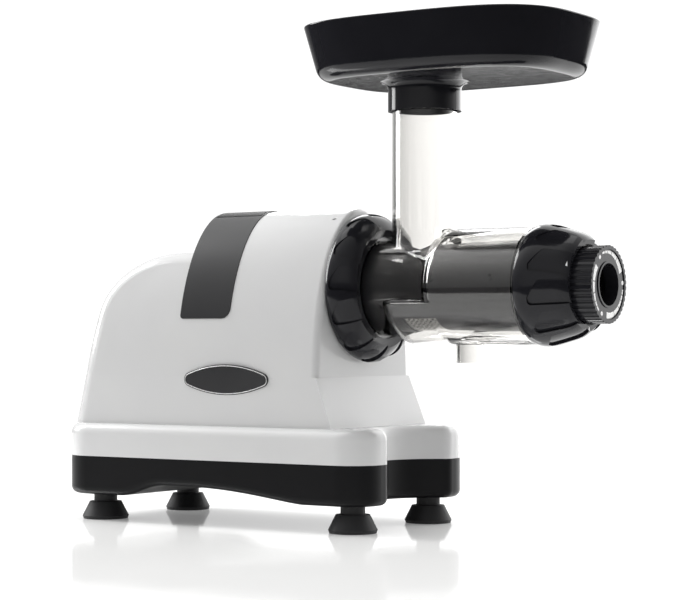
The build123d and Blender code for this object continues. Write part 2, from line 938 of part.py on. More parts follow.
with BuildPart() as drum:
    with BuildSketch(Plane.XZ):
        with BuildLine():
            Polyline(
                (at(drum_back), axis_height),
                (at(drum_back), axis_height + drum_flange_radius),
                (at(neck_start), axis_height + drum_flange_radius),
                (at(neck_start), axis_height + neck_radius),
                (at(step_start), axis_height + neck_radius),
            )
            ThreePointArc(
                (at(step_start), axis_height + neck_radius),
                (at(step_start + 0.3 * step_length), axis_height + 0.3 * neck_radius + 0.7 * chamber_radius),
                (at(step_end), axis_height + chamber_radius),
            )
            Polyline(
                (at(step_end), axis_height + chamber_radius),
                (at(chamber_end), axis_height + chamber_radius),
                (at(chamber_end), axis_height + drum_radius),
                (at(drum_end), axis_height + drum_radius),
                (at(drum_end), axis_height),
                (at(drum_back), axis_height),
            )
        make_face()
    revolve(axis=auger_axis)
    add(trough_outside)
    with BuildSketch(Plane.XY.offset(axis_height)):
        with Locations((at(chute_reach), 0)):
            Circle(chute_radius)
    extrude(amount=chute_guide_bottom - axis_height)
    with BuildSketch(Plane.XY.offset(spout_joint)):
        with Locations((at(spout_reach), 0)):
            Circle(spout_radius)
    extrude(amount=axis_height - spout_joint)
    add(drum_lugs)
    with BuildSketch(Plane.XZ):
        with BuildLine():
            Polyline(
                (at(neck_start), axis_height),
                (at(neck_start), axis_height + neck_bore),
                (at(step_start + 1.2), axis_height + neck_bore),
            )
            ThreePointArc(
                (at(step_start + 1.2), axis_height + neck_bore),
                (at(step_start + 0.5 * step_length), axis_height + 0.3 * neck_bore + 0.7 * chamber_bore),
                (at(step_end + 1), axis_height + chamber_bore),
            )
            Polyline(
                (at(step_end + 1), axis_height + chamber_bore),
                (at(chamber_end - drum_wall), axis_height + chamber_bore),
                (at(chamber_end - drum_wall), axis_height + drum_bore),
                (at(drum_end), axis_height + drum_bore),
                (at(drum_end), axis_height),
                (at(neck_start), axis_height),
            )
        make_face()
    revolve(axis=auger_axis, mode=Mode.SUBTRACT)
    add(trough_inside, mode=Mode.SUBTRACT)
    with BuildSketch(Plane.XY.offset(axis_height)):
        with Locations((at(chute_reach), 0)):
            Circle(chute_throat)
    extrude(amount=chute_guide_bottom - axis_height, mode=Mode.SUBTRACT)
    with BuildSketch(Plane.XY.offset(spout_joint)):
        with Locations((at(spout_reach), 0)):
            Circle(spout_bore)
    extrude(amount=axis_height - spout_joint, mode=Mode.SUBTRACT)
    with BuildSketch(across(at(drum_back), axis_height)):
        Circle(seal_radius + running_gap)
    extrude(amount=drum_flange + 1, mode=Mode.SUBTRACT)

with BuildPart() as feed_tube:
    with BuildSketch(Plane.XY.offset(chute_guide_bottom)):
        with Locations((at(chute_reach), 0)):
            Circle(chute_radius)
            Circle(chute_bore, mode=Mode.SUBTRACT)
    extrude(amount=chute_top - chute_guide_bottom)

with BuildPart() as spout_tube:
    with BuildSketch(Plane.XY.offset(spout_bottom)):
        with Locations((at(spout_reach), 0)):
            Circle(spout_radius)
            Circle(spout_bore, mode=Mode.SUBTRACT)
    extrude(amount=spout_joint - spout_bottom)

with BuildPart() as drum_seal:
    with BuildSketch(across(at(drum_back + free_gap), axis_height)):
        Circle(seal_radius)
        Circle(journal_radius + running_gap, mode=Mode.SUBTRACT)
    extrude(amount=drum_flange)
    with BuildSketch(across(at(neck_start + free_gap), axis_height)):
        Circle(seal_radius + seal_lip)
        Circle(journal_radius + running_gap, mode=Mode.SUBTRACT)
    extrude(amount=seal_face)

with BuildPart() as shaft_seal:
    with BuildSketch(across(front_x - body_wall, axis_height)):
        Circle(flange_bore - seat_gap)
        Circle(hub_radius + running_gap, mode=Mode.SUBTRACT)
    extrude(amount=shaft_seal_width)


def window_wedge(start, length, half_angle, reach):
    """Wedge below the auger axis, open downwards."""
    half = radians(half_angle)
    with BuildPart() as wedge:
        with BuildSketch(across(start, axis_height)):
            with BuildLine():
                Polyline(
                    (0, 0),
                    (-reach * sin(half), -reach * cos(half)),
                    (reach * sin(half), -reach * cos(half)),
                    close=True,
                )
            make_face()
        extrude(amount=length)
    return wedge.part


screen_window = window_wedge(at(window_start), window_length, window_half_angle, 2 * screen_radius)
mesh_wedge = window_wedge(
    at(window_start) + seat_gap,
    window_length - 2 * seat_gap,
    window_half_angle - degrees(seat_gap / screen_radius),
    2 * screen_radius,
)

with BuildPart() as juicing_screen:
    with BuildSketch(across(at(screen_start), axis_height)):
        Circle(screen_radius)
        Circle(screen_radius - screen_wall, mode=Mode.SUBTRACT)
    extrude(amount=screen_end - screen_start)
    add(screen_window, mode=Mode.SUBTRACT)
    with BuildSketch(Plane.XY.offset(axis_height)):
        with Locations((at(chute_reach), 0)):
            Circle(chute_throat)
    extrude(amount=screen_radius + 1, mode=Mode.SUBTRACT)

with BuildPart() as strainer_mesh:
    with BuildSketch(across(at(window_start), axis_height)):
        Circle(screen_radius - (screen_wall - mesh_thickness) / 2)
        Circle(screen_radius - (screen_wall + mesh_thickness) / 2, mode=Mode.SUBTRACT)
    extrude(amount=window_length)
    add(mesh_wedge, mode=Mode.INTERSECT)


# ---- auger --------------------------------------------------------------------------------

with BuildSketch() as flight_section:
    Circle(auger_root)
    with Locations((auger_radius / 2, 0)):
        Rectangle(auger_radius + 2, auger_flight)

twist = Solid.extrude_linear_with_rotation(
    flight_section.sketch.face(), (0, 0, 0), (0, 0, auger_end - auger_start), 360 * auger_turns
)
flight_blank = across(at(auger_start), axis_height).location * twist
core_blank = turned([
    (at(auger_start), 0),
    (at(auger_start), auger_root),
    (at(auger_end), auger_root_front),
    (at(auger_nose_end), auger_nose),
    (at(auger_nose_end), 0),
])
auger_envelope = turned([
    (at(auger_start), 0),
    (at(auger_start), auger_radius),
    (at(auger_end - auger_taper), auger_radius),
    (at(auger_end), auger_radius - auger_taper / 2),
    (at(auger_nose_end), auger_nose),
    (at(auger_nose_end), 0),
])
collar_disc = rod(at(auger_start), at(auger_start + auger_disc), auger_radius - 2)
drive_socket = rod(at(auger_start), at(drive_end), journal_radius)

with BuildPart() as auger:
    add(flight_blank)
    add(core_blank)
    add(collar_disc)
    add(auger_envelope, mode=Mode.INTERSECT)
    add(drive_socket, mode=Mode.SUBTRACT)

with BuildPart() as auger_drive_end:
    with BuildSketch(across(at(drive_start), axis_height)):
        Rectangle(drive_square, drive_square)
    extrude(amount=journal_start - drive_start)
    with BuildSketch(across(at(journal_start), axis_height)):
        Circle(journal_radius)
    extrude(amount=drive_end - journal_start)


# ---- end cap, nozzle and knob -------------------------------------------------------------

with BuildPart() as cap_blank:
    with BuildSketch(Plane.XZ):
        with BuildLine():
            Spline(
                (at(cap_start), axis_height + cap_radius - 1.4),
                (at(cap_start + 7), axis_height + cap_radius),
                (at(cap_start + 16), axis_height + cap_radius - 1.4),
                (at(cap_start + 28), axis_height + cap_radius - 4.7),
                (at(cap_end - 4), axis_height + cap_radius - 8.0),
                (at(cap_end), axis_height + cap_front_radius),
            )
            Polyline(
                (at(cap_end), axis_height + cap_front_radius),
                (at(cap_end), axis_height),
                (at(cap_start), axis_height),
                (at(cap_start), axis_height + cap_radius - 1.4),
            )
        make_face()
    revolve(axis=auger_axis)

cap_lugs = lug_ring(
    at(cap_start + free_gap),
    at(drum_end - lug_length - free_gap),
    drum_radius + free_gap,
    drum_lug_radius + 1,
)
cap_seat = drum_end + free_gap
nozzle_start = cap_seat + cap_seal_width + free_gap
cap_hollow = turned([
    (at(cap_start), 0),
    (at(cap_start), drum_lug_radius + running_gap),
    (at(nozzle_start), drum_lug_radius + running_gap),
    (at(nozzle_start), nozzle_flange + seat_gap),
    (at(nozzle_start + nozzle_rim), nozzle_flange + seat_gap),
    (at(nozzle_cone_end), nozzle_neck + seat_gap),
    (at(cap_end), nozzle_neck + seat_gap),
    (at(cap_end), 0),
])
knob_pit = rod(at(knob_start - free_gap - 1), at(cap_end), knob_radius + knob_clearance)
cap_plan = pocket_plan(cap_pocket_start, cap_pocket_full, 2 * cap_end, cap_pocket_width, 3.0)
cap_cuts = grip_pockets(
    cap_blank.part, cap_radius, cap_plan, cap_pocket_width, cap_pocket_depth, cap_pockets
)

with BuildPart() as end_cap:
    add(cap_blank.part)
    add(cap_hollow, mode=Mode.SUBTRACT)
    add(cap_lugs)
    add(cap_cuts, mode=Mode.SUBTRACT)
    add(knob_pit, mode=Mode.SUBTRACT)

with BuildPart() as cap_seal:
    with BuildSketch(across(at(cap_seat), axis_height)):
        Circle(drum_lug_radius - seat_gap)
        Circle(drum_bore, mode=Mode.SUBTRACT)
    extrude(amount=cap_seal_width)

nozzle_form = turned([
    (at(nozzle_start), nozzle_flange - nozzle_wall),
    (at(nozzle_start), nozzle_flange),
    (at(nozzle_start + nozzle_rim), nozzle_flange),
    (at(nozzle_cone_end), nozzle_neck),
    (at(nozzle_end), nozzle_neck),
    (at(nozzle_end), nozzle_bore),
    (at(nozzle_cone_end - 1), nozzle_bore),
    (at(nozzle_start + nozzle_rim), nozzle_flange - nozzle_wall),
])

with BuildPart() as outlet_nozzle:
    add(nozzle_form)

with BuildPart() as adjusting_knob:
    with BuildSketch(across(at(knob_start), axis_height)):
        Circle(knob_radius)
        with PolarLocations(knob_radius + knob_flute_radius / 3, knob_flutes):
            Circle(knob_flute_radius, mode=Mode.SUBTRACT)
        Circle(nozzle_neck + running_gap, mode=Mode.SUBTRACT)
    extrude(amount=nozzle_end + free_gap - knob_start)
    with BuildSketch(across(at(nozzle_end + free_gap), axis_height)):
        Circle(knob_radius)
        with PolarLocations(knob_radius + knob_flute_radius / 3, knob_flutes):
            Circle(knob_flute_radius, mode=Mode.SUBTRACT)
        Circle(nozzle_bore, mode=Mode.SUBTRACT)
    extrude(amount=snout_reach - nozzle_end - free_gap)
    with BuildSketch(across(at(snout_reach), axis_height)):
        Circle(knob_radius - knob_face_rim - knob_flute_radius)
        Circle(nozzle_bore + knob_face_rim, mode=Mode.SUBTRACT)
    extrude(amount=-knob_face_recess, mode=Mode.SUBTRACT)


# ---- hopper -------------------------------------------------------------------------------

def rounded_oval(height, half_length, half_width):
    """Superellipse about the hopper's middle, as one smooth closed curve."""
    points = []
    for step in range(hopper_points):
        angle = 2 * pi * step / hopper_points
        along = copysign(abs(cos(angle)) ** (2 / hopper_power), cos(angle))
        side = copysign(abs(sin(angle)) ** (2 / hopper_power), sin(angle))
        points.append((at(hopper_reach) + half_length * along, half_width * side))
    with BuildSketch(Plane.XY.offset(height)) as oval:
        with BuildLine():
            Spline(*points, periodic=True)
        make_face()
    return oval.sketch


def tray_form(inset, bottom, edge):
    """The tray's outline drawn in by inset, with a rounded lower edge."""
    low = rounded_oval(bottom, hopper_floor_length - inset, hopper_floor_width - inset)
    high = rounded_oval(overall_height, hopper_half_length - inset, hopper_half_width - inset)
    with BuildPart() as tray:
        loft([low, high])
        fillet(tray.edges().group_by(Axis.Z)[0], edge)
    return tray.part


tray_outside = tray_form(0, hopper_bottom, hopper_edge)
tray_inside = tray_form(hopper_wall, hopper_bottom + hopper_wall, hopper_edge - hopper_wall)

with BuildPart() as hopper:
    add(tray_outside)
    add(tray_inside, mode=Mode.SUBTRACT)
    with BuildSketch(Plane.XY.offset(collar_bottom)):
        with Locations((at(chute_reach), 0)):
            Circle(collar_radius)
    extrude(amount=hopper_bottom - collar_bottom + hopper_wall / 2)
    joint = hopper.edges().filter_by(GeomType.CIRCLE).filter_by(
        lambda e: abs(e.center().Z - hopper_bottom) < 0.1
    )
    fillet(joint, collar_flare)
    with BuildSketch(Plane.XY.offset(collar_bottom)):
        with Locations((at(chute_reach), 0)):
            Circle(chute_entry)
    extrude(amount=hopper_bottom + 2 * hopper_wall - collar_bottom, mode=Mode.SUBTRACT)
    with BuildSketch(Plane.XY.offset(collar_bottom)):
        with Locations((at(chute_reach), 0)):
            Circle(chute_radius + free_gap)
    extrude(amount=chute_top + free_gap - collar_bottom, mode=Mode.SUBTRACT)
    fillet(hopper.edges().group_by(Axis.Z)[-1], hopper_wall / 2 - 0.3)


# ---- gears --------------------------------------------------------------------------------

def gear_blank(x, width, height, module, teeth, first, bore):
    """Spur gear with involute flanks; first is the angle of one tooth's middle."""
    pitch = module * teeth / 2
    base = pitch * cos(pressure_angle)
    tip = pitch + addendum * module
    root = pitch - dedendum * module
    half = (pi * module / 2 - backlash) / (2 * pitch) + tan(pressure_angle) - pressure_angle
    start = max(base, root)
    flank = [(root, half)] if root < base else []
    for step in range(flank_steps + 1):
        radius = start + (tip - start) * step / flank_steps
        roll = acos(base / radius)
        flank.append((radius, half - tan(roll) + roll))
    points = []
    for tooth in range(teeth):
        middle = first + 2 * pi * tooth / teeth
        points += [(r * cos(middle - away), r * sin(middle - away)) for r, away in flank]
        points += [(r * cos(middle + away), r * sin(middle + away)) for r, away in flank[::-1]]
    with BuildPart() as gear:
        with BuildSketch(across(x, height)):
            with BuildLine():
                Polyline(*points, close=True)
            make_face()
            if bore:
                Circle(bore, mode=Mode.SUBTRACT)
        extrude(amount=width)
    return gear.part


tooth_up = pi / 2
gap_down = -pi / 2 + pi / wheel_teeth
motor_pinion = gear_blank(
    idler_wheel_x, idler_wheel_width, motor_height, first_module, pinion_teeth, tooth_up, 0
)
idler_wheel = gear_blank(
    idler_wheel_x, idler_wheel_width, idler_height, first_module, wheel_teeth, gap_down, idler_shaft_radius
)
idler_pinion = gear_blank(
    output_wheel_x, output_wheel_width, idler_height, second_module, pinion_teeth, tooth_up, 0
)
output_wheel = gear_blank(
    output_wheel_x, output_wheel_width, axis_height, second_module, wheel_teeth, gap_down, shaft_radius
)


def lighten(x, width, height, hub, rim, web):
    """Rings to take out of both sides of a wheel, so that only a web joins hub and rim."""
    side = (width - web) / 2
    left = rod(x, x + side, rim, height, hub)
    right = rod(x + width - side, x + width, rim, height, hub)
    return [left, right]


idler_pockets = lighten(
    idler_wheel_x, idler_wheel_width, idler_height, wheel_hub, idler_wheel_rim, wheel_web
)
output_pockets = lighten(
    output_wheel_x, output_wheel_width, axis_height, output_hub, output_wheel_rim, wheel_web
)

with BuildPart() as idler_gear:
    add(idler_wheel)
    add(idler_pockets, mode=Mode.SUBTRACT)

with BuildPart() as idler_shaft:
    with BuildSketch(across(gearbox_rear + bearing_lip, idler_height)):
        Circle(idler_shaft_radius)
    extrude(amount=gearbox_length - 2 * bearing_lip)
    add(idler_pinion)

with BuildPart() as output_gear:
    add(output_wheel)
    add(output_pockets, mode=Mode.SUBTRACT)

with BuildPart() as output_shaft:
    with BuildSketch(across(gearbox_rear + bearing_lip, axis_height)):
        Circle(shaft_radius)
    extrude(amount=at(hub_start + hub_floor) - gearbox_rear - bearing_lip)

with BuildPart() as drive_hub:
    with BuildSketch(across(at(hub_start), axis_height)):
        Circle(hub_radius)
    extrude(amount=hub_end - hub_start)
    with BuildSketch(across(at(hub_start), axis_height)):
        Circle(shaft_radius)
    extrude(amount=hub_floor, mode=Mode.SUBTRACT)
    with BuildSketch(across(at(hub_end), axis_height)):
        Rectangle(drive_square + 2 * socket_gap, drive_square + 2 * socket_gap)
    extrude(amount=drive_start - free_gap - hub_end, mode=Mode.SUBTRACT)


# ---- gearbox ------------------------------------------------------------------------------

def case_outline(x, growth):
    """Outline round the gear train, this far outside the gears' running space."""
    circles = [
        (axis_height, second_module * (wheel_teeth / 2 + addendum)),
        (idler_height, first_module * (wheel_teeth / 2 + addendum)),
        (motor_height, first_module * (pinion_teeth / 2 + addendum)),
    ]
    with BuildSketch(across(x)) as outline:
        with BuildLine():
            for height, tip in circles:
                CenterArc((0, height), tip + gear_margin + growth, 0, 360)
        make_hull()
    return outline.sketch


case_outside = case_outline(gearbox_rear, case_wall)
case_inside = case_outline(gearbox_rear + case_wall, 0)
cover_outside = case_outline(gearbox_front - cover_plate, case_wall)
cover_split = gearbox_front - cover_plate


with BuildPart() as gearbox_case:
    extrude(case_outside, amount=gearbox_length - cover_plate)
    with BuildSketch(across(cover_split - case_flange)):
        with Locations(*gearbox_screw_places):
            Circle(gearbox_ear)
    extrude(amount=case_flange)
    with BuildSketch(across(gearbox_rear, motor_height)):
        Circle(motor_radius)
    extrude(amount=case_wall)
    extrude(case_inside, amount=gearbox_length, mode=Mode.SUBTRACT)
    with BuildSketch(across(gearbox_rear)):
        with Locations((0, axis_height)):
            Circle(bearing_radius + case_wall)
        with Locations((0, idler_height)):
            Circle(bush_radius + case_wall)
    extrude(amount=bearing_width + bearing_lip)
    with BuildSketch(across(gearbox_rear + bearing_lip)):
        with Locations((0, axis_height)):
            Circle(bearing_radius + running_gap)
        with Locations((0, idler_height)):
            Circle(bush_radius + running_gap)
    extrude(amount=bearing_width, mode=Mode.SUBTRACT)
    with BuildSketch(across(gearbox_rear)):
        with Locations((0, motor_height)):
            Circle(motor_shaft_radius + 1)
        with Locations(*motor_bolt_places):
            Circle(motor_bolt_radius + screw_gap)
    extrude(amount=case_wall, mode=Mode.SUBTRACT)
    with BuildSketch(across(cover_split - case_flange)):
        with Locations(*gearbox_screw_places):
            Circle(gearbox_screw_radius + screw_gap)
    extrude(amount=case_flange, mode=Mode.SUBTRACT)

with BuildPart() as gearbox_cover:
    extrude(cover_outside, amount=cover_plate)
    with BuildSketch(across(cover_split)):
        with Locations(*gearbox_screw_places):
            Circle(gearbox_ear)
    extrude(amount=cover_plate)
    with BuildSketch(across(gearbox_front - bearing_width - bearing_lip)):
        with Locations((0, axis_height)):
            Circle(bearing_radius + case_wall)
        with Locations((0, idler_height)):
            Circle(bush_radius + case_wall)
    extrude(amount=bearing_width)
    with BuildSketch(across(gearbox_front - bearing_lip)):
        with Locations((0, axis_height)):
            Circle(bearing_radius + running_gap)
        with Locations((0, idler_height)):
            Circle(bush_radius + running_gap)
    extrude(amount=-bearing_width, mode=Mode.SUBTRACT)
    with BuildSketch(across(gearbox_front)):
        with Locations((0, axis_height)):
            Circle(bearing_radius - case_wall)
        with Locations(*gearbox_screw_places):
            Circle(gearbox_screw_radius + screw_gap)
    extrude(amount=-gearbox_length / 2, mode=Mode.SUBTRACT)

bearing_starts = (gearbox_rear + bearing_lip, gearbox_front - bearing_lip - bearing_width)
output_bearing_blanks = [
    rod(x, x + bearing_width, bearing_radius, axis_height, shaft_radius + running_gap)
    for x in bearing_starts
]
bush_blanks = [
    rod(x, x + bearing_width, bush_radius, idler_height, idler_shaft_radius + running_gap)
    for x in bearing_starts
]

with BuildPart() as output_bearings:
    add(output_bearing_blanks)
    shoulders = output_bearings.edges().filter_by(GeomType.CIRCLE).filter_by(
        lambda e: e.radius > bearing_radius - 0.1
    )
    chamfer(shoulders, 0.8)

with BuildPart() as idler_bushes:
    add(bush_blanks)

one_gearbox_screw = screw_form(gearbox_screw_radius, gearbox_screw_length, gearbox_screw_head, 2.4)

with BuildPart() as gearbox_screws:
    with Locations(*[
        Location((cover_split - case_flange, y, z), (0, 90, 0)) for y, z in gearbox_screw_places
    ]):
        add(one_gearbox_screw)


# ---- motor --------------------------------------------------------------------------------

def bell_form(open_x, wall_x):
    """Motor end bell: a cup from its open end to its end wall, with a bearing seat in the wall."""
    way = copysign(1, wall_x - open_x)
    seat = motor_bearing_radius + running_gap
    lip = wall_x - way * bearing_lip
    face = lip - way * motor_bearing_width
    floor = wall_x - way * bell_wall
    cup = turned([
        (open_x, motor_radius),
        (wall_x, motor_radius),
        (wall_x, motor_shaft_radius + 1),
        (lip, motor_shaft_radius + 1),
        (lip, seat),
        (face, seat),
        (face, seat + bell_wall),
        (floor, seat + bell_wall),
        (floor, motor_radius - bell_wall),
        (open_x, motor_radius - bell_wall),
    ], motor_height)
    with BuildPart() as bell:
        add(cup)
        with BuildSketch(across(open_x)):
            with Locations(*motor_bolt_places):
                Circle(motor_bolt_radius + screw_gap)
        extrude(amount=way * bell_length, mode=Mode.SUBTRACT)
    return bell.part


front_bell_blank = bell_form(front_bell_x, gearbox_rear)
rear_bell_blank = bell_form(stator_x, rear_bell_x)
winding_blanks = [
    rod(x, x + winding_length, winding_radius, motor_height, winding_bore)
    for x in (front_bell_x, stator_x - winding_length)
]
motor_bearing_blanks = [
    rod(x, x + motor_bearing_width, motor_bearing_radius, motor_height, motor_shaft_radius + running_gap)
    for x in (gearbox_rear - bearing_lip - motor_bearing_width, rear_bell_x + bearing_lip)
]

with BuildPart() as motor_front_bell:
    add(front_bell_blank)

with BuildPart() as motor_rear_bell:
    add(rear_bell_blank)
    with BuildSketch(across(rear_bell_x, motor_height)):
        with PolarLocations(bell_vent_circle, bell_vents, start_angle=22.5):
            Circle(bell_vent_radius)
    extrude(amount=bell_wall, mode=Mode.SUBTRACT)

with BuildPart() as motor_stator:
    with BuildSketch(across(stator_x)):
        with Locations((0, motor_height)):
            Circle(motor_radius)
            Circle(stator_bore, mode=Mode.SUBTRACT)
        with Locations(*motor_bolt_places):
            Circle(motor_bolt_radius + screw_gap, mode=Mode.SUBTRACT)
    extrude(amount=stator_length)

with BuildPart() as stator_windings:
    add(winding_blanks)
    fillet(stator_windings.edges().filter_by(GeomType.CIRCLE), winding_rounding)

with BuildPart() as motor_rotor:
    with BuildSketch(across(stator_x, motor_height)):
        Circle(stator_bore - air_gap)
        Circle(motor_shaft_radius, mode=Mode.SUBTRACT)
    extrude(amount=stator_length)

with BuildPart() as motor_shaft:
    with BuildSketch(across(fan_x, motor_height)):
        Circle(motor_shaft_radius)
    extrude(amount=idler_wheel_x - fan_x)
    add(motor_pinion)

with BuildPart() as motor_bearings:
    add(motor_bearing_blanks)

with BuildPart() as cooling_fan:
    with BuildSketch(across(fan_x, motor_height)):
        Circle(fan_hub)
        with PolarLocations((fan_hub + fan_radius) / 2, fan_blades):
            Rectangle(fan_radius - fan_hub + 1, fan_blade)
        Circle(fan_radius, mode=Mode.INTERSECT)
    extrude(amount=fan_width)
    with BuildSketch(across(fan_x + fan_width, motor_height)):
        Circle(fan_radius)
    extrude(amount=fan_blade)
    with BuildSketch(across(fan_x, motor_height)):
        Circle(motor_shaft_radius)
    extrude(amount=fan_width + fan_blade, mode=Mode.SUBTRACT)

one_motor_bolt = screw_form(
    motor_bolt_radius, gearbox_rear + case_wall - rear_bell_x - 0.5, motor_bolt_head, 2.4
)

with BuildPart() as motor_bolts:
    with Locations(*[Location((rear_bell_x, y, z), (0, 90, 0)) for y, z in motor_bolt_places]):
        add(one_motor_bolt)

with BuildPart() as run_capacitor:
    with BuildSketch(across(capacitor_x, pan_high + pan_wall + capacitor_radius + seat_gap)):
        with Locations((capacitor_y, 0)):
            Circle(capacitor_radius)
    extrude(amount=capacitor_length)
    fillet(run_capacitor.edges().filter_by(GeomType.CIRCLE), 2)


# ---- switch and cord inlet ----------------------------------------------------------------

switch_face = rear_wall(switch_height)
switch_axis = Axis(switch_face.origin, switch_face.z_dir)
rocker_side = Plane(
    origin=switch_face.origin - switch_face.z_dir * rocker_pivot_depth,
    x_dir=switch_face.y_dir,
    z_dir=switch_face.x_dir,
)

with BuildPart() as switch_bezel:
    with BuildSketch(switch_face):
        RectangleRounded(switch_width, switch_length, 3)
    extrude(amount=bezel_proud)
    fillet(switch_bezel.faces().sort_by(switch_axis)[-1].edges(), bezel_proud * 0.6)
    with BuildSketch(switch_face):
        RectangleRounded(
            switch_width - 2 * (bezel_lip + seat_gap), switch_length - 2 * (bezel_lip + seat_gap), 2
        )
    extrude(amount=-bezel_depth)
    with BuildSketch(switch_face.offset(bezel_proud)):
        Rectangle(2 * (rocker_half_width + free_gap), 2 * (rocker_reach + free_gap))
    extrude(amount=-bezel_proud - bezel_depth + bezel_back, mode=Mode.SUBTRACT)
    with BuildSketch(rocker_side):
        Circle(rocker_pin + running_gap)
    extrude(amount=rocker_half_width + rocker_pin_length + free_gap, both=True, mode=Mode.SUBTRACT)

with BuildPart() as power_rocker:
    with BuildSketch(rocker_side):
        with BuildLine():
            Polyline(
                (-rocker_reach, rocker_pivot_depth + rocker_proud),
                (0, rocker_pivot_depth + rocker_dip),
                (rocker_reach, rocker_pivot_depth + rocker_proud),
                (rocker_reach, -rocker_root),
                (-rocker_reach, -rocker_root),
                close=True,
            )
        make_face()
        Circle(rocker_reach, mode=Mode.INTERSECT)
    extrude(amount=rocker_half_width, both=True)
    with BuildSketch(rocker_side):
        Circle(rocker_pin)
    extrude(amount=rocker_half_width + rocker_pin_length, both=True)

with BuildPart() as cord_inlet_bush:
    with BuildSketch(rear_wall(inlet_height, inlet_offset)):
        Circle(inlet_flange)
    extrude(amount=inlet_proud)
    fillet(cord_inlet_bush.faces().sort_by(switch_axis)[-1].edges(), inlet_proud / 3)
    with BuildSketch(rear_wall(inlet_height, inlet_offset)):
        Circle(inlet_neck)
    extrude(amount=-inlet_depth)
    with BuildSketch(rear_wall(inlet_height, inlet_offset).offset(inlet_proud)):
        Circle(inlet_bore)
    extrude(amount=-inlet_depth - inlet_proud, mode=Mode.SUBTRACT)


# ---- export -------------------------------------------------------------------------------

pieces = {
    "motor_housing": motor_housing,
    "base_skirt": base_skirt,
    "base_pan": base_pan,
    "handle_band": handle_band,
    "handle_insert": handle_insert,
    "rubber_feet": rubber_feet,
    "foot_screws": foot_screws,
    "base_screws": base_screws,
    "lock_flange": lock_flange,
    "flange_screws": flange_screws,
    "locking_ring": locking_ring,
    "drum": drum,
    "feed_tube": feed_tube,
    "spout_tube": spout_tube,
    "drum_seal": drum_seal,
    "shaft_seal": shaft_seal,
    "juicing_screen": juicing_screen,
    "strainer_mesh": strainer_mesh,
    "auger": auger,
    "auger_drive_end": auger_drive_end,
    "drive_hub": drive_hub,
    "end_cap": end_cap,
    "cap_seal": cap_seal,
    "outlet_nozzle": outlet_nozzle,
    "adjusting_knob": adjusting_knob,
    "hopper": hopper,
    "gearbox_case": gearbox_case,
    "gearbox_cover": gearbox_cover,
    "gearbox_screws": gearbox_screws,
    "output_shaft": output_shaft,
    "output_gear": output_gear,
    "output_bearings": output_bearings,
    "idler_shaft": idler_shaft,
    "idler_gear": idler_gear,
    "idler_bushes": idler_bushes,
    "motor_front_bell": motor_front_bell,
    "motor_rear_bell": motor_rear_bell,
    "motor_stator": motor_stator,
    "stator_windings": stator_windings,
    "motor_rotor": motor_rotor,
    "motor_shaft": motor_shaft,
    "motor_bearings": motor_bearings,
    "motor_bolts": motor_bolts,
    "cooling_fan": cooling_fan,
    "run_capacitor": run_capacitor,
    "switch_bezel": switch_bezel,
    "power_rocker": power_rocker,
    "cord_inlet_bush": cord_inlet_bush,
}

os.makedirs("parts", exist_ok=True)
for name, piece in pieces.items():
    piece.part.label = name
    export_step(piece.part, f"parts/{name}.step")
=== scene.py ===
import json
from math import atan2, cos, pi, radians, sin

import bmesh
import bpy
from mathutils import Matrix, Vector


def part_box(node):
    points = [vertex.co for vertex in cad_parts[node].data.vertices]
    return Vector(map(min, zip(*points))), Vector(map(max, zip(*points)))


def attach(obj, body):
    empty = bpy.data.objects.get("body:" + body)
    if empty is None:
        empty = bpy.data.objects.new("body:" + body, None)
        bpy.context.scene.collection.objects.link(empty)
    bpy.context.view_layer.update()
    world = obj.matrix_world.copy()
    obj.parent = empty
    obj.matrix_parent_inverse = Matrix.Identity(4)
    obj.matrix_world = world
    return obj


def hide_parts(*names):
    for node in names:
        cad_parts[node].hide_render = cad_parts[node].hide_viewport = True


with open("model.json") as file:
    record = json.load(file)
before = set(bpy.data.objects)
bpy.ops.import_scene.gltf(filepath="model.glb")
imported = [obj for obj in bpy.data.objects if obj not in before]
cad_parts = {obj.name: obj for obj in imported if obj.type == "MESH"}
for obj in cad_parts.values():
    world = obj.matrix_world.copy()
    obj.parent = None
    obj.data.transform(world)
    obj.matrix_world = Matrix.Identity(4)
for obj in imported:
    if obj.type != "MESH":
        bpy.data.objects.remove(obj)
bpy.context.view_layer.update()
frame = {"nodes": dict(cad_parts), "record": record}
nodes = frame["nodes"]

MM = 0.001
AXIS_HEIGHT = 190 * MM          # auger axis above the table
DIAL_FACE = 233.7 * MM          # printed face of the knob
STRAINER_RADIUS = 33.6 * MM     # middle of the sheet's thickness
STRAINER_HALF_ANGLE = 45.8
HOLE_PITCH = 2.9 * MM           # between neighbouring holes, on the slant
HOLE_WEB = 0.52 * MM            # half the metal between two holes
SHEET_EDGE = 1.6 * MM           # plain margin round the perforated field
SHEET_THICKNESS = 0.7 * MM
SHEET_CELLS = 26                # cells each way before the sheet is trimmed
INK_FILM = 0.04 * MM
DIAL_DOTS = (4, 124, 244)       # degrees from +Y towards +Z
DOT_REACH = 24.2 * MM
DOT_RADIUS = 1.7 * MM
WEDGE_OUTSIDE = 25.3 * MM
WEDGE_INSIDE = 24.0 * MM        # inner edge at the thin end
WEDGE_GROWTH = 3.4 * MM         # how much wider the thick end is
WEDGE_START = 12                # degrees past the dot
WEDGE_SPAN = 88
WEDGE_STEPS = ((0.0, 0.10), (0.12, 0.22), (0.24, 0.40), (0.42, 0.64), (0.66, 1.0))
# on the end cap: turn, reach, height of the surface along X, and the way it points, in degrees and mm
CAP_POINTERS = ((156, 36.6, 216.8, 66), (270, 33.2, 218.2, 90))
POINTER_LENGTH = 3.6 * MM
POINTER_WIDTH = 2.6 * MM
POINTER_TAPER = 0.96            # share of the width lost at the tip
BADGE_HALF_LENGTH = 41.35 * MM
BADGE_HALF_HEIGHT = 12.2 * MM
BADGE_TIP = 5.5 * MM            # rounding of its two ends
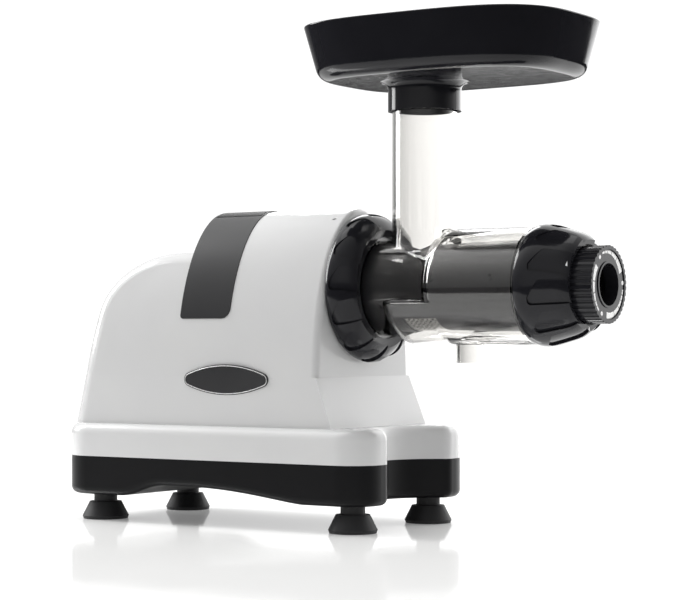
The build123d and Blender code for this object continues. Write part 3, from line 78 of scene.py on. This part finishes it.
# on the near side wall, which leans out by 2 degrees there
BADGE_PLACE = Matrix.Translation((-69.3 * MM, -68.5 * MM, 117 * MM)) @ Matrix.Rotation(radians(92.0), 4, "X")


# ---- colours and nodes --------------------------------------------------------------------

def linear(hex_colour):
    """An sRGB hex colour as linear RGBA."""
    shades = []
    for place in (0, 2, 4):
        value = int(hex_colour[place:place + 2], 16) / 255
        shades.append(value / 12.92 if value <= 0.04045 else ((value + 0.055) / 1.055) ** 2.4)
    return (*shades, 1.0)


def put(tree, kind, inputs=None, **settings):
    """Adds a node with its settings. An input is a number, a colour or another node's output."""
    made = tree.nodes.new(kind)
    for name, value in settings.items():
        setattr(made, name, value)
    for name, value in (inputs or {}).items():
        if isinstance(value, bpy.types.NodeSocket):
            tree.links.new(value, made.inputs[name])
        else:
            made.inputs[name].default_value = value
    return made


def new_material(name):
    """An empty material with its output, and the piece's own coordinates in metres."""
    material = bpy.data.materials.new(name)
    material.use_nodes = True
    tree = material.node_tree
    tree.nodes.clear()
    output = put(tree, "ShaderNodeOutputMaterial")
    place = put(tree, "ShaderNodeTexCoord").outputs["Object"]
    return material, tree, output, place


def noise(tree, place, size_mm, detail=2.0, roughness=0.5, stretch=None):
    """Noise whose blotches are about size_mm across, as a value from 0 to 1."""
    if stretch:
        place = put(tree, "ShaderNodeMapping", {"Vector": place, "Scale": stretch}).outputs[0]
    made = put(tree, "ShaderNodeTexNoise", {
        "Vector": place,
        "Scale": 1 / (size_mm * MM),
        "Detail": detail,
        "Roughness": roughness,
    })
    return made.outputs[0]


def spread(tree, value, low, high, from_low=0.3, from_high=0.7):
    """The value stretched to run from low to high."""
    made = put(tree, "ShaderNodeMapRange", {
        "Value": value,
        "From Min": from_low,
        "From Max": from_high,
        "To Min": low,
        "To Max": high,
    })
    return made.outputs[0]


def between(tree, value, dark, light):
    """A colour between two hex colours."""
    made = put(tree, "ShaderNodeMix", {0: value, 6: linear(dark), 7: linear(light)}, data_type="RGBA")
    return made.outputs[2]


def bump(tree, height, distance_mm, strength=1.0, under=None):
    """A bump of that height, over another bump if one is given."""
    inputs = {"Height": height, "Distance": distance_mm * MM, "Strength": strength}
    if under:
        inputs["Normal"] = under
    return put(tree, "ShaderNodeBump", inputs).outputs[0]


# ---- materials ----------------------------------------------------------------------------

def glossy_white_abs():
    """Injection-moulded ABS, polished tool: milky white, with the soft waviness of a big moulding."""
    material, tree, output, place = new_material("glossy_white_abs")
    shade = noise(tree, place, 60, 2.0)
    wave = bump(tree, noise(tree, place, 16, 1.0), 0.05, 0.5)
    peel = bump(tree, noise(tree, place, 1.6, 1.0), 0.002, 0.35, wave)
    handling = noise(tree, place, 22, 5.0, 0.65)
    shader = put(tree, "ShaderNodeBsdfPrincipled", {
        "Base Color": between(tree, shade, "DFDFE0", "E4E4E3"),
        "Roughness": spread(tree, handling, 0.16, 0.24),
        "IOR": 1.54,
        "Subsurface Weight": 0.06,
        "Subsurface Radius": (0.004, 0.004, 0.004),
        "Subsurface Scale": 1.0,
        "Coat Weight": 0.25,
        "Coat Roughness": 0.06,
        "Normal": peel,
    })
    tree.links.new(shader.outputs[0], output.inputs["Surface"])
    return material


def glossy_black_abs():
    """Injection-moulded ABS, polished tool: near-black with a cool cast and sharp reflections."""
    material, tree, output, place = new_material("glossy_black_abs")
    wave = bump(tree, noise(tree, place, 12, 1.0), 0.03, 0.5)
    shade = noise(tree, place, 25, 3.0)
    handling = noise(tree, place, 9, 6.0, 0.7)
    shader = put(tree, "ShaderNodeBsdfPrincipled", {
        "Base Color": between(tree, shade, "202024", "252529"),
        "Roughness": spread(tree, handling, 0.08, 0.13),
        "IOR": 1.5,
        "Specular IOR Level": 0.3,
        "Normal": wave,
    })
    tree.links.new(shader.outputs[0], output.inputs["Surface"])
    return material


def satin_black_abs():
    """ABS from a spark-eroded tool: fine even grain that breaks reflections into a soft sheen."""
    material, tree, output, place = new_material("satin_black_abs")
    # real grain is about 0.15 mm; drawn at 0.45 mm so that it shows
    grain = bump(tree, noise(tree, place, 0.45, 2.0), 0.015, 0.5)
    shade = noise(tree, place, 30, 4.0)
    shader = put(tree, "ShaderNodeBsdfPrincipled", {
        "Base Color": between(tree, shade, "0E0E10", "121214"),
        "Roughness": spread(tree, shade, 0.30, 0.36),
        "IOR": 1.5,
        "Specular IOR Level": 0.15,
        "Normal": grain,
    })
    tree.links.new(shader.outputs[0], output.inputs["Surface"])
    return material


def satin_charcoal_abs():
    """Painted ABS trim: charcoal with a silky sheen that catches the top light."""
    material, tree, output, place = new_material("satin_charcoal_abs")
    grain = bump(tree, noise(tree, place, 0.4, 2.0), 0.008, 0.4)
    shade = noise(tree, place, 45, 1.0)
    shader = put(tree, "ShaderNodeBsdfPrincipled", {
        "Base Color": between(tree, shade, "212123", "242426"),
        "Roughness": spread(tree, shade, 0.30, 0.32),
        "IOR": 1.52,
        "Normal": grain,
    })
    tree.links.new(shader.outputs[0], output.inputs["Surface"])
    return material


def soft_black_inlay():
    """Soft-touch inlay under the fingers: deep black, with hardly any reflection."""
    material, tree, output, place = new_material("soft_black_inlay")
    handling = noise(tree, place, 7, 6.0, 0.7)
    shader = put(tree, "ShaderNodeBsdfPrincipled", {
        "Base Color": linear("0A0A0B"),
        "Roughness": spread(tree, handling, 0.42, 0.48),
        "IOR": 1.3,
        "Normal": bump(tree, noise(tree, place, 14, 1.0), 0.02, 0.4),
    })
    tree.links.new(shader.outputs[0], output.inputs["Surface"])
    return material


def clear_copolyester():
    """Clear moulded copolyester: water-clear, a shade of grey where a ray passes through more of it."""
    material, tree, output, place = new_material("clear_copolyester")
    wave = bump(tree, noise(tree, place, 14, 1.0), 0.03, 0.35)
    handling = noise(tree, place, 10, 5.0, 0.7)
    shader = put(tree, "ShaderNodeBsdfPrincipled", {
        "Base Color": linear("F1F0EE"),
        "Roughness": spread(tree, handling, 0.005, 0.03),
        "IOR": 1.52,
        "Transmission Weight": 1.0,
        "Normal": wave,
    })
    lets_through = put(tree, "ShaderNodeBsdfTransparent", {"Color": linear("E6E4E1")})
    shadow = put(tree, "ShaderNodeLightPath").outputs["Is Shadow Ray"]
    mixed = put(tree, "ShaderNodeMixShader", {0: shadow, 1: shader.outputs[0], 2: lets_through.outputs[0]})
    tree.links.new(mixed.outputs[0], output.inputs["Surface"])
    return material


def moulded(name, dark, light, rough, grain_mm, grain_depth_mm, ior=1.5, blotch_mm=15, glow=0.0):
    """A plain moulded polymer: two close shades, even grain and a little unevenness in the sheen."""
    material, tree, output, place = new_material(name)
    shade = noise(tree, place, blotch_mm, 4.0)
    grain = bump(tree, noise(tree, place, grain_mm, 2.0), grain_depth_mm, 0.6)
    shader = put(tree, "ShaderNodeBsdfPrincipled", {
        "Base Color": between(tree, shade, dark, light),
        "Roughness": spread(tree, shade, rough - 0.05, rough + 0.05),
        "IOR": ior,
        # emission set by glow is painted light: the surface gives off light of its own, though it is no lamp
        "Emission Color": linear(light),
        "Emission Strength": glow,
        "Normal": grain,
    })
    tree.links.new(shader.outputs[0], output.inputs["Surface"])
    return material


def metal(name, dark, light, rough, line_mm, stretch, line_depth_mm):
    """A bare metal with fine marks drawn out along one way by how it was cut or rolled."""
    material, tree, output, place = new_material(name)
    lines = noise(tree, place, line_mm, 3.0, 0.6, stretch)
    stain = noise(tree, place, 12, 4.0)
    shader = put(tree, "ShaderNodeBsdfPrincipled", {
        "Base Color": between(tree, stain, dark, light),
        "Metallic": 1.0,
        "Roughness": spread(tree, lines, rough - 0.06, rough + 0.08),
        "Normal": bump(tree, lines, line_depth_mm, 0.5),
    })
    tree.links.new(shader.outputs[0], output.inputs["Surface"])
    return material


finishes = {
    "gloss_white": glossy_white_abs(),
    "gloss_black": glossy_black_abs(),
    "satin_black": satin_black_abs(),
    "satin_band": satin_charcoal_abs(),
    "insert_black": soft_black_inlay(),
    "clear": clear_copolyester(),
    # glass-filled polymer: grey, faint fibre mottling under a soft sheen
    "screen_grey": moulded("glass_filled_grey_pei", "3A3A3D", "434346", 0.32, 0.6, 0.006),
    # natural rubber: matt, dusty black
    "black_rubber": moulded("natural_rubber", "151517", "1E1E20", 0.62, 0.8, 0.02, 1.52),
    # silicone: pale, waxy and slightly sheened
    "seal_grey": moulded("grey_silicone", "8C8C8A", "989896", 0.5, 1.2, 0.01, 1.43),
    # matt nylon of a switch: fine spark grain
    "switch_black": moulded("matt_black_nylon", "121214", "1A1A1C", 0.42, 0.5, 0.01, 1.53),
    # dark strong polymer of the auger: smooth, polished by use
    "auger_plastic": moulded("dark_grey_pei", "29292B", "333336", 0.26, 1.5, 0.004, 1.65),
    # natural nylon of the gears: milky, waxy
    "gear_nylon": moulded("natural_nylon", "D8D3C4", "E4DFD0", 0.38, 1.0, 0.006, 1.53),
    # varnished capacitor can: pale grey film over aluminium
    "capacitor_case": moulded("varnished_can", "B9BCC0", "C6C8CB", 0.34, 2.0, 0.004),
    # perforated stainless sheet: bright, rolled along its length
    "mesh_steel": metal("rolled_stainless", "C4C3C0", "D6D5D2", 0.24, 0.5, (0.1, 1, 1), 0.003),
    # ground steel shafts: rings left by the grinding wheel
    "steel": metal("ground_steel", "AEB0B3", "C2C3C6", 0.28, 0.4, (6, 0.2, 0.2), 0.003),
    # zinc-plated screws: bluish, slightly dull
    "screw_steel": metal("zinc_plated_steel", "A9AEB6", "BFC3C9", 0.34, 0.7, (1, 1, 1), 0.004),
    # pressure-cast aluminium: pale, flow marks and a dull skin
    "cast_aluminium": metal("pressure_cast_aluminium", "A3A5A8", "B8BABC", 0.48, 1.4, (1, 1, 1), 0.03),
    # sintered bronze: brown-gold with open pores
    "bronze": metal("sintered_bronze", "8F6A3A", "A57C48", 0.45, 0.4, (1, 1, 1), 0.02),
    # enamelled copper wire: reddish lacquer, strands running round the coil
    "copper_winding": metal("enamelled_copper", "9A4B22", "B8602F", 0.30, 0.7, (0.3, 1, 1), 0.15),
    # stacked silicon steel: thin sheets seen on edge, across the motor
    "laminations": metal("stacked_silicon_steel", "6F7378", "8A8D92", 0.42, 0.5, (8, 0.1, 0.1), 0.05),
}

# lacquered plate: even charcoal, sheen a little broken by fine brushing along its length
badge_lacquer = moulded("charcoal_lacquer", "262628", "2A2A2C", 0.36, 0.3, 0.001, blotch_mm=60)
# thin plated frame: bright, with a satin polish
bright_nickel = metal("polished_nickel", "EDEDED", "F4F4F4", 0.30, 0.8, (0.3, 1, 1), 0.002)
# pad-printing ink: flat white, slightly thin over the plastic, with a painted glow (emission) that makes it
# brighter than the light falling on it
white_ink_painted_glow = moulded("white_printing_ink_painted_glow", "F6F6F5", "FCFCFB", 0.55, 0.4, 0.002, glow=0.22)

node_slots = {part["node"]: part["material_slot"] for part in frame["record"]["subparts"]}
for name, cad_node in nodes.items():
    for holder in cad_node.material_slots:
        holder.material = finishes[node_slots[name]]


# ---- camera, floor and light --------------------------------------------------------------

def set_camera():
    """Long lens, level, a little above the table, seen from the front of the near side."""
    data = bpy.data.cameras.new("camera")
    data.sensor_fit = "HORIZONTAL"
    data.sensor_width = 36.0
    data.lens = 109.565
    data.shift_y = 0.05623
    data.clip_start = 0.05
    data.clip_end = 60.0
    camera = bpy.data.objects.new("camera", data)
    bpy.context.scene.collection.objects.link(camera)
    camera.location = (0.9314, -1.4107, 0.14962)
    sight = Vector((-0.5513, 0.8343, 0.0))
    camera.rotation_euler = sight.to_track_quat("-Z", "Y").to_euler()
    bpy.context.scene.camera = camera


def link(name, made):
    """Turns a bmesh into an object in the scene."""
    mesh = bpy.data.meshes.new(name)
    made.to_mesh(mesh)
    made.free()
    piece = bpy.data.objects.new(name, mesh)
    bpy.context.scene.collection.objects.link(piece)
    return piece


def ride_on(piece, material, body, replaced=None):
    """Gives a new piece its material and body, and the CAD node that it stands for, if any."""
    piece.data.materials.append(material)
    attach(piece, body)
    if replaced:
        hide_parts(replaced)


def lens_point(angle, half_length, half_height, tip):
    """Point with that outward direction on a lens of two arcs whose ends are rounded off."""
    length = half_length - tip
    height = half_height - tip
    arc = (length**2 + height**2) / (2 * height)
    if abs(cos(angle)) <= length / arc:
        side = 1 if sin(angle) > 0 else -1
        return (arc + tip) * cos(angle), (arc + tip) * sin(angle) - side * (arc - height)
    end = length if cos(angle) > 0 else -length
    return end + tip * cos(angle), tip * sin(angle)


def lens_slab(name, inset, back, front, hole_inset=None):
    """Lens-shaped plate or frame on the near wall, between two depths along the wall's outward way."""
    made = bmesh.new()
    for drawn_in in (inset, hole_inset):
        if drawn_in is None:
            continue
        ring = bmesh.ops.create_circle(made, segments=192, radius=1.0)["verts"]
        for vertex in ring:
            angle = atan2(vertex.co.y, vertex.co.x)
            along, up = lens_point(
                angle, BADGE_HALF_LENGTH - drawn_in, BADGE_HALF_HEIGHT - drawn_in, BADGE_TIP - drawn_in
            )
            vertex.co = (along, up, 0)
    if hole_inset is None:
        bmesh.ops.contextual_create(made, geom=made.edges[:])
    else:
        bmesh.ops.bridge_loops(made, edges=made.edges[:])
    grown = bmesh.ops.extrude_face_region(made, geom=made.faces[:])["geom"]
    top = [item for item in grown if isinstance(item, bmesh.types.BMVert)]
    bmesh.ops.translate(made, verts=top, vec=(0, 0, front - back))
    bmesh.ops.translate(made, verts=made.verts, vec=(0, 0, back))
    bmesh.ops.recalc_face_normals(made, faces=made.faces)
    rim = [edge for edge in made.edges if edge.calc_face_angle(0) > 0.6]
    bmesh.ops.bevel(made, geom=rim, offset=0.2 * MM, segments=3, affect="EDGES", profile=0.5)
    bmesh.ops.transform(made, matrix=BADGE_PLACE, verts=made.verts)
    return link(name, made)


def make_badge():
    """Bare lens-shaped name plate: dark lacquer in a bright polished frame."""
    plate = lens_slab("badge_plate", 0.0, -0.9 * MM, 0.75 * MM)
    frame_line = lens_slab("badge_frame", 0.7 * MM, 0.3 * MM, 1.0 * MM, 1.4 * MM)
    ride_on(plate, badge_lacquer, "appliance")
    ride_on(frame_line, bright_nickel, "appliance")


def on_face(turn, reach, x):
    """Point in front of the auger axis, turned from +Y towards +Z."""
    return Vector((x, reach * cos(radians(turn)), AXIS_HEIGHT + reach * sin(radians(turn))))


def ink_shape(made, place, segments):
    """Adds a patch of ink: a grid over 0 to 1 both ways, laid out by place(a, b)."""
    patch = bmesh.ops.create_grid(made, x_segments=segments[0], y_segments=segments[1], size=0.5)["verts"]
    for vertex in patch:
        vertex.co = place(vertex.co.x + 0.5, vertex.co.y + 0.5)


def make_dial_marks():
    """Pad-printed marks on the knob's face: three dots, and from each a wedge that grows in steps."""
    made = bmesh.new()
    for dot in DIAL_DOTS:
        spot = bmesh.ops.create_circle(made, cap_ends=True, segments=40, radius=DOT_RADIUS)["verts"]
        centre = on_face(dot, DOT_REACH, DIAL_FACE)
        for vertex in spot:
            vertex.co = centre + Vector((0, vertex.co.x, vertex.co.y))
        for first, last in WEDGE_STEPS:
            def place(a, b):
                part_way = first + (last - first) * a
                inner = WEDGE_INSIDE - WEDGE_GROWTH * part_way
                turn = dot - WEDGE_START - WEDGE_SPAN * part_way
                return on_face(turn, inner + (WEDGE_OUTSIDE - inner) * b, DIAL_FACE)

            ink_shape(made, place, (12, 1))
    finish_ink("dial_marks", made, Vector((1, 0, 0)), "dial")


def make_cap_pointers():
    """Two printed triangles on the end cap that the dial is read against."""
    cap = nodes["end_cap"]
    made = bmesh.new()
    for turn, reach, x, way_turn in CAP_POINTERS:
        centre = on_face(turn, reach * MM, x * MM)
        up = Vector((0, cos(radians(way_turn)), sin(radians(way_turn))))
        across = Vector((0, up.z, -up.y))

        def place(a, b):
            width = POINTER_WIDTH * (1 - POINTER_TAPER * b)
            point = centre + up * (b - 0.4) * POINTER_LENGTH + across * (a - 0.5) * width
            found, surface, normal, face = cap.closest_point_on_mesh(point)
            return surface + normal * INK_FILM

        ink_shape(made, place, (3, 6))
    finish_ink("cap_pointers", made, Vector((1, 0, 0)), "cap")


def finish_ink(name, made, outward, body):
    """Thickens ink patches to a film and gives them to a body."""
    bmesh.ops.recalc_face_normals(made, faces=made.faces)
    for face in made.faces:
        if face.normal.dot(outward) < 0:
            face.normal_flip()
    grown = bmesh.ops.extrude_face_region(made, geom=made.faces[:])["geom"]
    top = [item for item in grown if isinstance(item, bmesh.types.BMVert)]
    bmesh.ops.translate(made, verts=top, vec=outward * INK_FILM)
    bmesh.ops.recalc_face_normals(made, faces=made.faces)
    ride_on(link(name, made), white_ink_painted_glow, body)


def make_clear_drum():
    """The drum, its feed chute and its juice spout: one clear moulding, with no face where they join."""
    piece = bpy.data.objects.new("clear_drum", nodes["drum"].data.copy())
    bpy.context.scene.collection.objects.link(piece)
    for tube in ("feed_tube", "spout_tube"):
        joined = piece.modifiers.new(tube, "BOOLEAN")
        joined.operation = "UNION"
        joined.solver = "EXACT"
        joined.object = nodes[tube]
    depsgraph = bpy.context.evaluated_depsgraph_get()
    moulding = bpy.data.meshes.new_from_object(piece.evaluated_get(depsgraph))
    piece.modifiers.clear()
    piece.data = moulding
    piece.data.materials.clear()
    ride_on(piece, finishes["clear"], "appliance", "drum")
    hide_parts("feed_tube", "spout_tube")


def make_strainer():
    """Perforated sheet: a slanted grid of cells, each with a hole, bent round under the screen."""
    low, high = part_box("strainer_mesh")
    length = high[0] - low[0]
    middle = (low[0] + high[0]) / 2
    half_arc = radians(STRAINER_HALF_ANGLE) * STRAINER_RADIUS
    made = bmesh.new()
    bmesh.ops.create_grid(
        made, x_segments=SHEET_CELLS, y_segments=SHEET_CELLS, size=SHEET_CELLS * HOLE_PITCH / 2
    )
    bmesh.ops.rotate(made, verts=made.verts, matrix=Matrix.Rotation(pi / 4, 3, "Z"))
    bmesh.ops.inset_individual(made, faces=made.faces[:], thickness=HOLE_WEB, use_even_offset=True)
    holes = [
        face for face in made.faces
        if face.calc_area() < (HOLE_PITCH - 1.8 * HOLE_WEB)**2
        and len([edge for edge in face.edges if edge.calc_length() < HOLE_PITCH - HOLE_WEB]) == 4
        and abs(face.calc_center_median().x) < length / 2 - SHEET_EDGE
        and abs(face.calc_center_median().y) < half_arc - SHEET_EDGE
    ]
    bmesh.ops.delete(made, geom=holes, context="FACES")
    for way in (Vector((1, 0, 0)), Vector((-1, 0, 0)), Vector((0, 1, 0)), Vector((0, -1, 0))):
        reach = length / 2 if way.x else half_arc
        everything = made.verts[:] + made.edges[:] + made.faces[:]
        bmesh.ops.bisect_plane(made, geom=everything, plane_co=way * reach, plane_no=way, clear_outer=True)
    for vertex in made.verts:
        turn = vertex.co.y / STRAINER_RADIUS
        along = middle + vertex.co.x
        vertex.co = (along, STRAINER_RADIUS * sin(turn), AXIS_HEIGHT - STRAINER_RADIUS * cos(turn))
    bmesh.ops.recalc_face_normals(made, faces=made.faces)
    sheet = link("strainer_sheet", made)
    thick = sheet.modifiers.new("thickness", "SOLIDIFY")
    thick.thickness = SHEET_THICKNESS
    thick.offset = 0.0
    thick.use_rim = True
    smooth = sheet.modifiers.new("round_holes", "SUBSURF")
    smooth.levels = 2
    smooth.render_levels = 2
    ride_on(sheet, finishes["mesh_steel"], "appliance", "strainer_mesh")


def lay_floor():
    """A round white acrylic table top with a clear reflection, most of it behind the machine."""
    made = bmesh.new()
    bmesh.ops.create_circle(made, cap_ends=True, radius=1.5, segments=96)
    bmesh.ops.translate(made, verts=made.verts, vec=(-0.496, 0.751, -0.0002))
    floor = link("table_top", made)
    material, tree, output, place = new_material("white_acrylic_table")
    diffuse = put(tree, "ShaderNodeBsdfDiffuse", {"Color": linear("F2F2F1")})
    gloss = put(tree, "ShaderNodeBsdfGlossy", {
        "Color": linear("FFFFFF"),
        "Roughness": spread(tree, noise(tree, place, 40, 3.0), 0.05, 0.09),
    })
    mixed = put(tree, "ShaderNodeMixShader", {0: 0.36, 1: diffuse.outputs[0], 2: gloss.outputs[0]})
    glow = put(tree, "ShaderNodeEmission", {"Color": linear("FFFFFF"), "Strength": 0.15})
    both = put(tree, "ShaderNodeAddShader", {0: mixed.outputs[0], 1: glow.outputs[0]})
    tree.links.new(both.outputs[0], output.inputs["Surface"])
    floor.data.materials.append(material)


def on_sphere(turn, rise):
    """Direction turned from +X towards +Y, and raised above the horizon, in degrees."""
    level = cos(radians(rise))
    return Vector((level * cos(radians(turn)), level * sin(radians(turn)), sin(radians(rise))))


TENT_EDGE = -0.05               # sine of the rise where the tent's wall begins
TENT_FALLOFF = 6.0              # a patch fades as the cosine to this power
BACKDROP = 1.1                  # what the camera sees behind everything
# soft patches of the tent: turn from +X, rise above the horizon, strength
TENT_PATCHES = (
    (0, 90, 0.68),
    (60, 50, 0.83),
    (180, 50, 1.63),
    (240, 50, 0.34),
    (300, 50, 0.12),
    (45, 10, 0.68),
    (90, 10, 2.99),
    (135, 10, 0.26),
    (225, 10, 0.13),
    (270, 10, 0.40),
    (315, 10, 0.41),
)


def light_room():
    """A tent of soft patches of light, brightest low behind the machine and high on its rear side."""
    world = bpy.data.worlds.new("tent")
    bpy.context.scene.world = world
    world.use_nodes = True
    tree = world.node_tree
    tree.nodes.clear()
    output = put(tree, "ShaderNodeOutputWorld")
    way = put(tree, "ShaderNodeTexCoord").outputs["Generated"]
    height = put(tree, "ShaderNodeSeparateXYZ", {0: way}).outputs[2]
    above = put(tree, "ShaderNodeMath", {0: height, 1: TENT_EDGE}, operation="GREATER_THAN").outputs[0]
    total = 0.0
    for turn, rise, strength in TENT_PATCHES:
        axis = on_sphere(turn, rise)
        along = put(tree, "ShaderNodeVectorMath", {0: way, 1: axis}, operation="DOT_PRODUCT")
        facing = put(tree, "ShaderNodeMath", {0: along.outputs["Value"], 1: 0.0}, operation="MAXIMUM")
        lobe = put(tree, "ShaderNodeMath", {0: facing.outputs[0], 1: TENT_FALLOFF}, operation="POWER")
        added = put(
            tree, "ShaderNodeMath", {0: lobe.outputs[0], 1: strength, 2: total}, operation="MULTIPLY_ADD"
        )
        total = added.outputs[0]
    shade = put(tree, "ShaderNodeMath", {0: total, 1: above}, operation="MULTIPLY").outputs[0]
    tent = put(tree, "ShaderNodeBackground", {"Color": linear("FFFFFF"), "Strength": shade})
    backdrop = put(tree, "ShaderNodeBackground", {"Color": linear("FFFFFF"), "Strength": BACKDROP})
    seen = put(tree, "ShaderNodeLightPath").outputs["Is Camera Ray"]
    mixed = put(tree, "ShaderNodeMixShader", {0: seen, 1: tent.outputs[0], 2: backdrop.outputs[0]})
    tree.links.new(mixed.outputs[0], output.inputs["Surface"])


def softbox(name, place, target, width, height, watts):
    """A rectangular softbox that faces a point on the object."""
    data = bpy.data.lights.new(name, "AREA")
    data.shape = "RECTANGLE"
    data.size = width
    data.size_y = height
    data.energy = watts
    lamp = bpy.data.objects.new(name, data)
    bpy.context.scene.collection.objects.link(lamp)
    lamp.location = place
    sight = Vector(target) - Vector(place)
    lamp.rotation_euler = sight.to_track_quat("-Z", "Y").to_euler()
    lamp.visible_camera = False


def set_view():
    """Plain display transform, so that white stays white."""
    scene = bpy.context.scene
    scene.view_settings.view_transform = "Standard"
    scene.view_settings.look = "None"


make_badge()
make_dial_marks()
make_cap_pointers()
make_strainer()
make_clear_drum()
set_camera()
lay_floor()
light_room()
softbox("top_softbox", (0.0, 0.1, 1.3), (0.05, 0, 0.2), 1.2, 0.5, 2)
softbox("left_softbox", (-1.4, -0.2, 0.8), (0, 0, 0.2), 0.5, 1.0, 14)
softbox("back_softbox", (-0.9, 1.2, 1.2), (0.1, 0, 0.25), 0.5, 0.4, 3)
set_view()
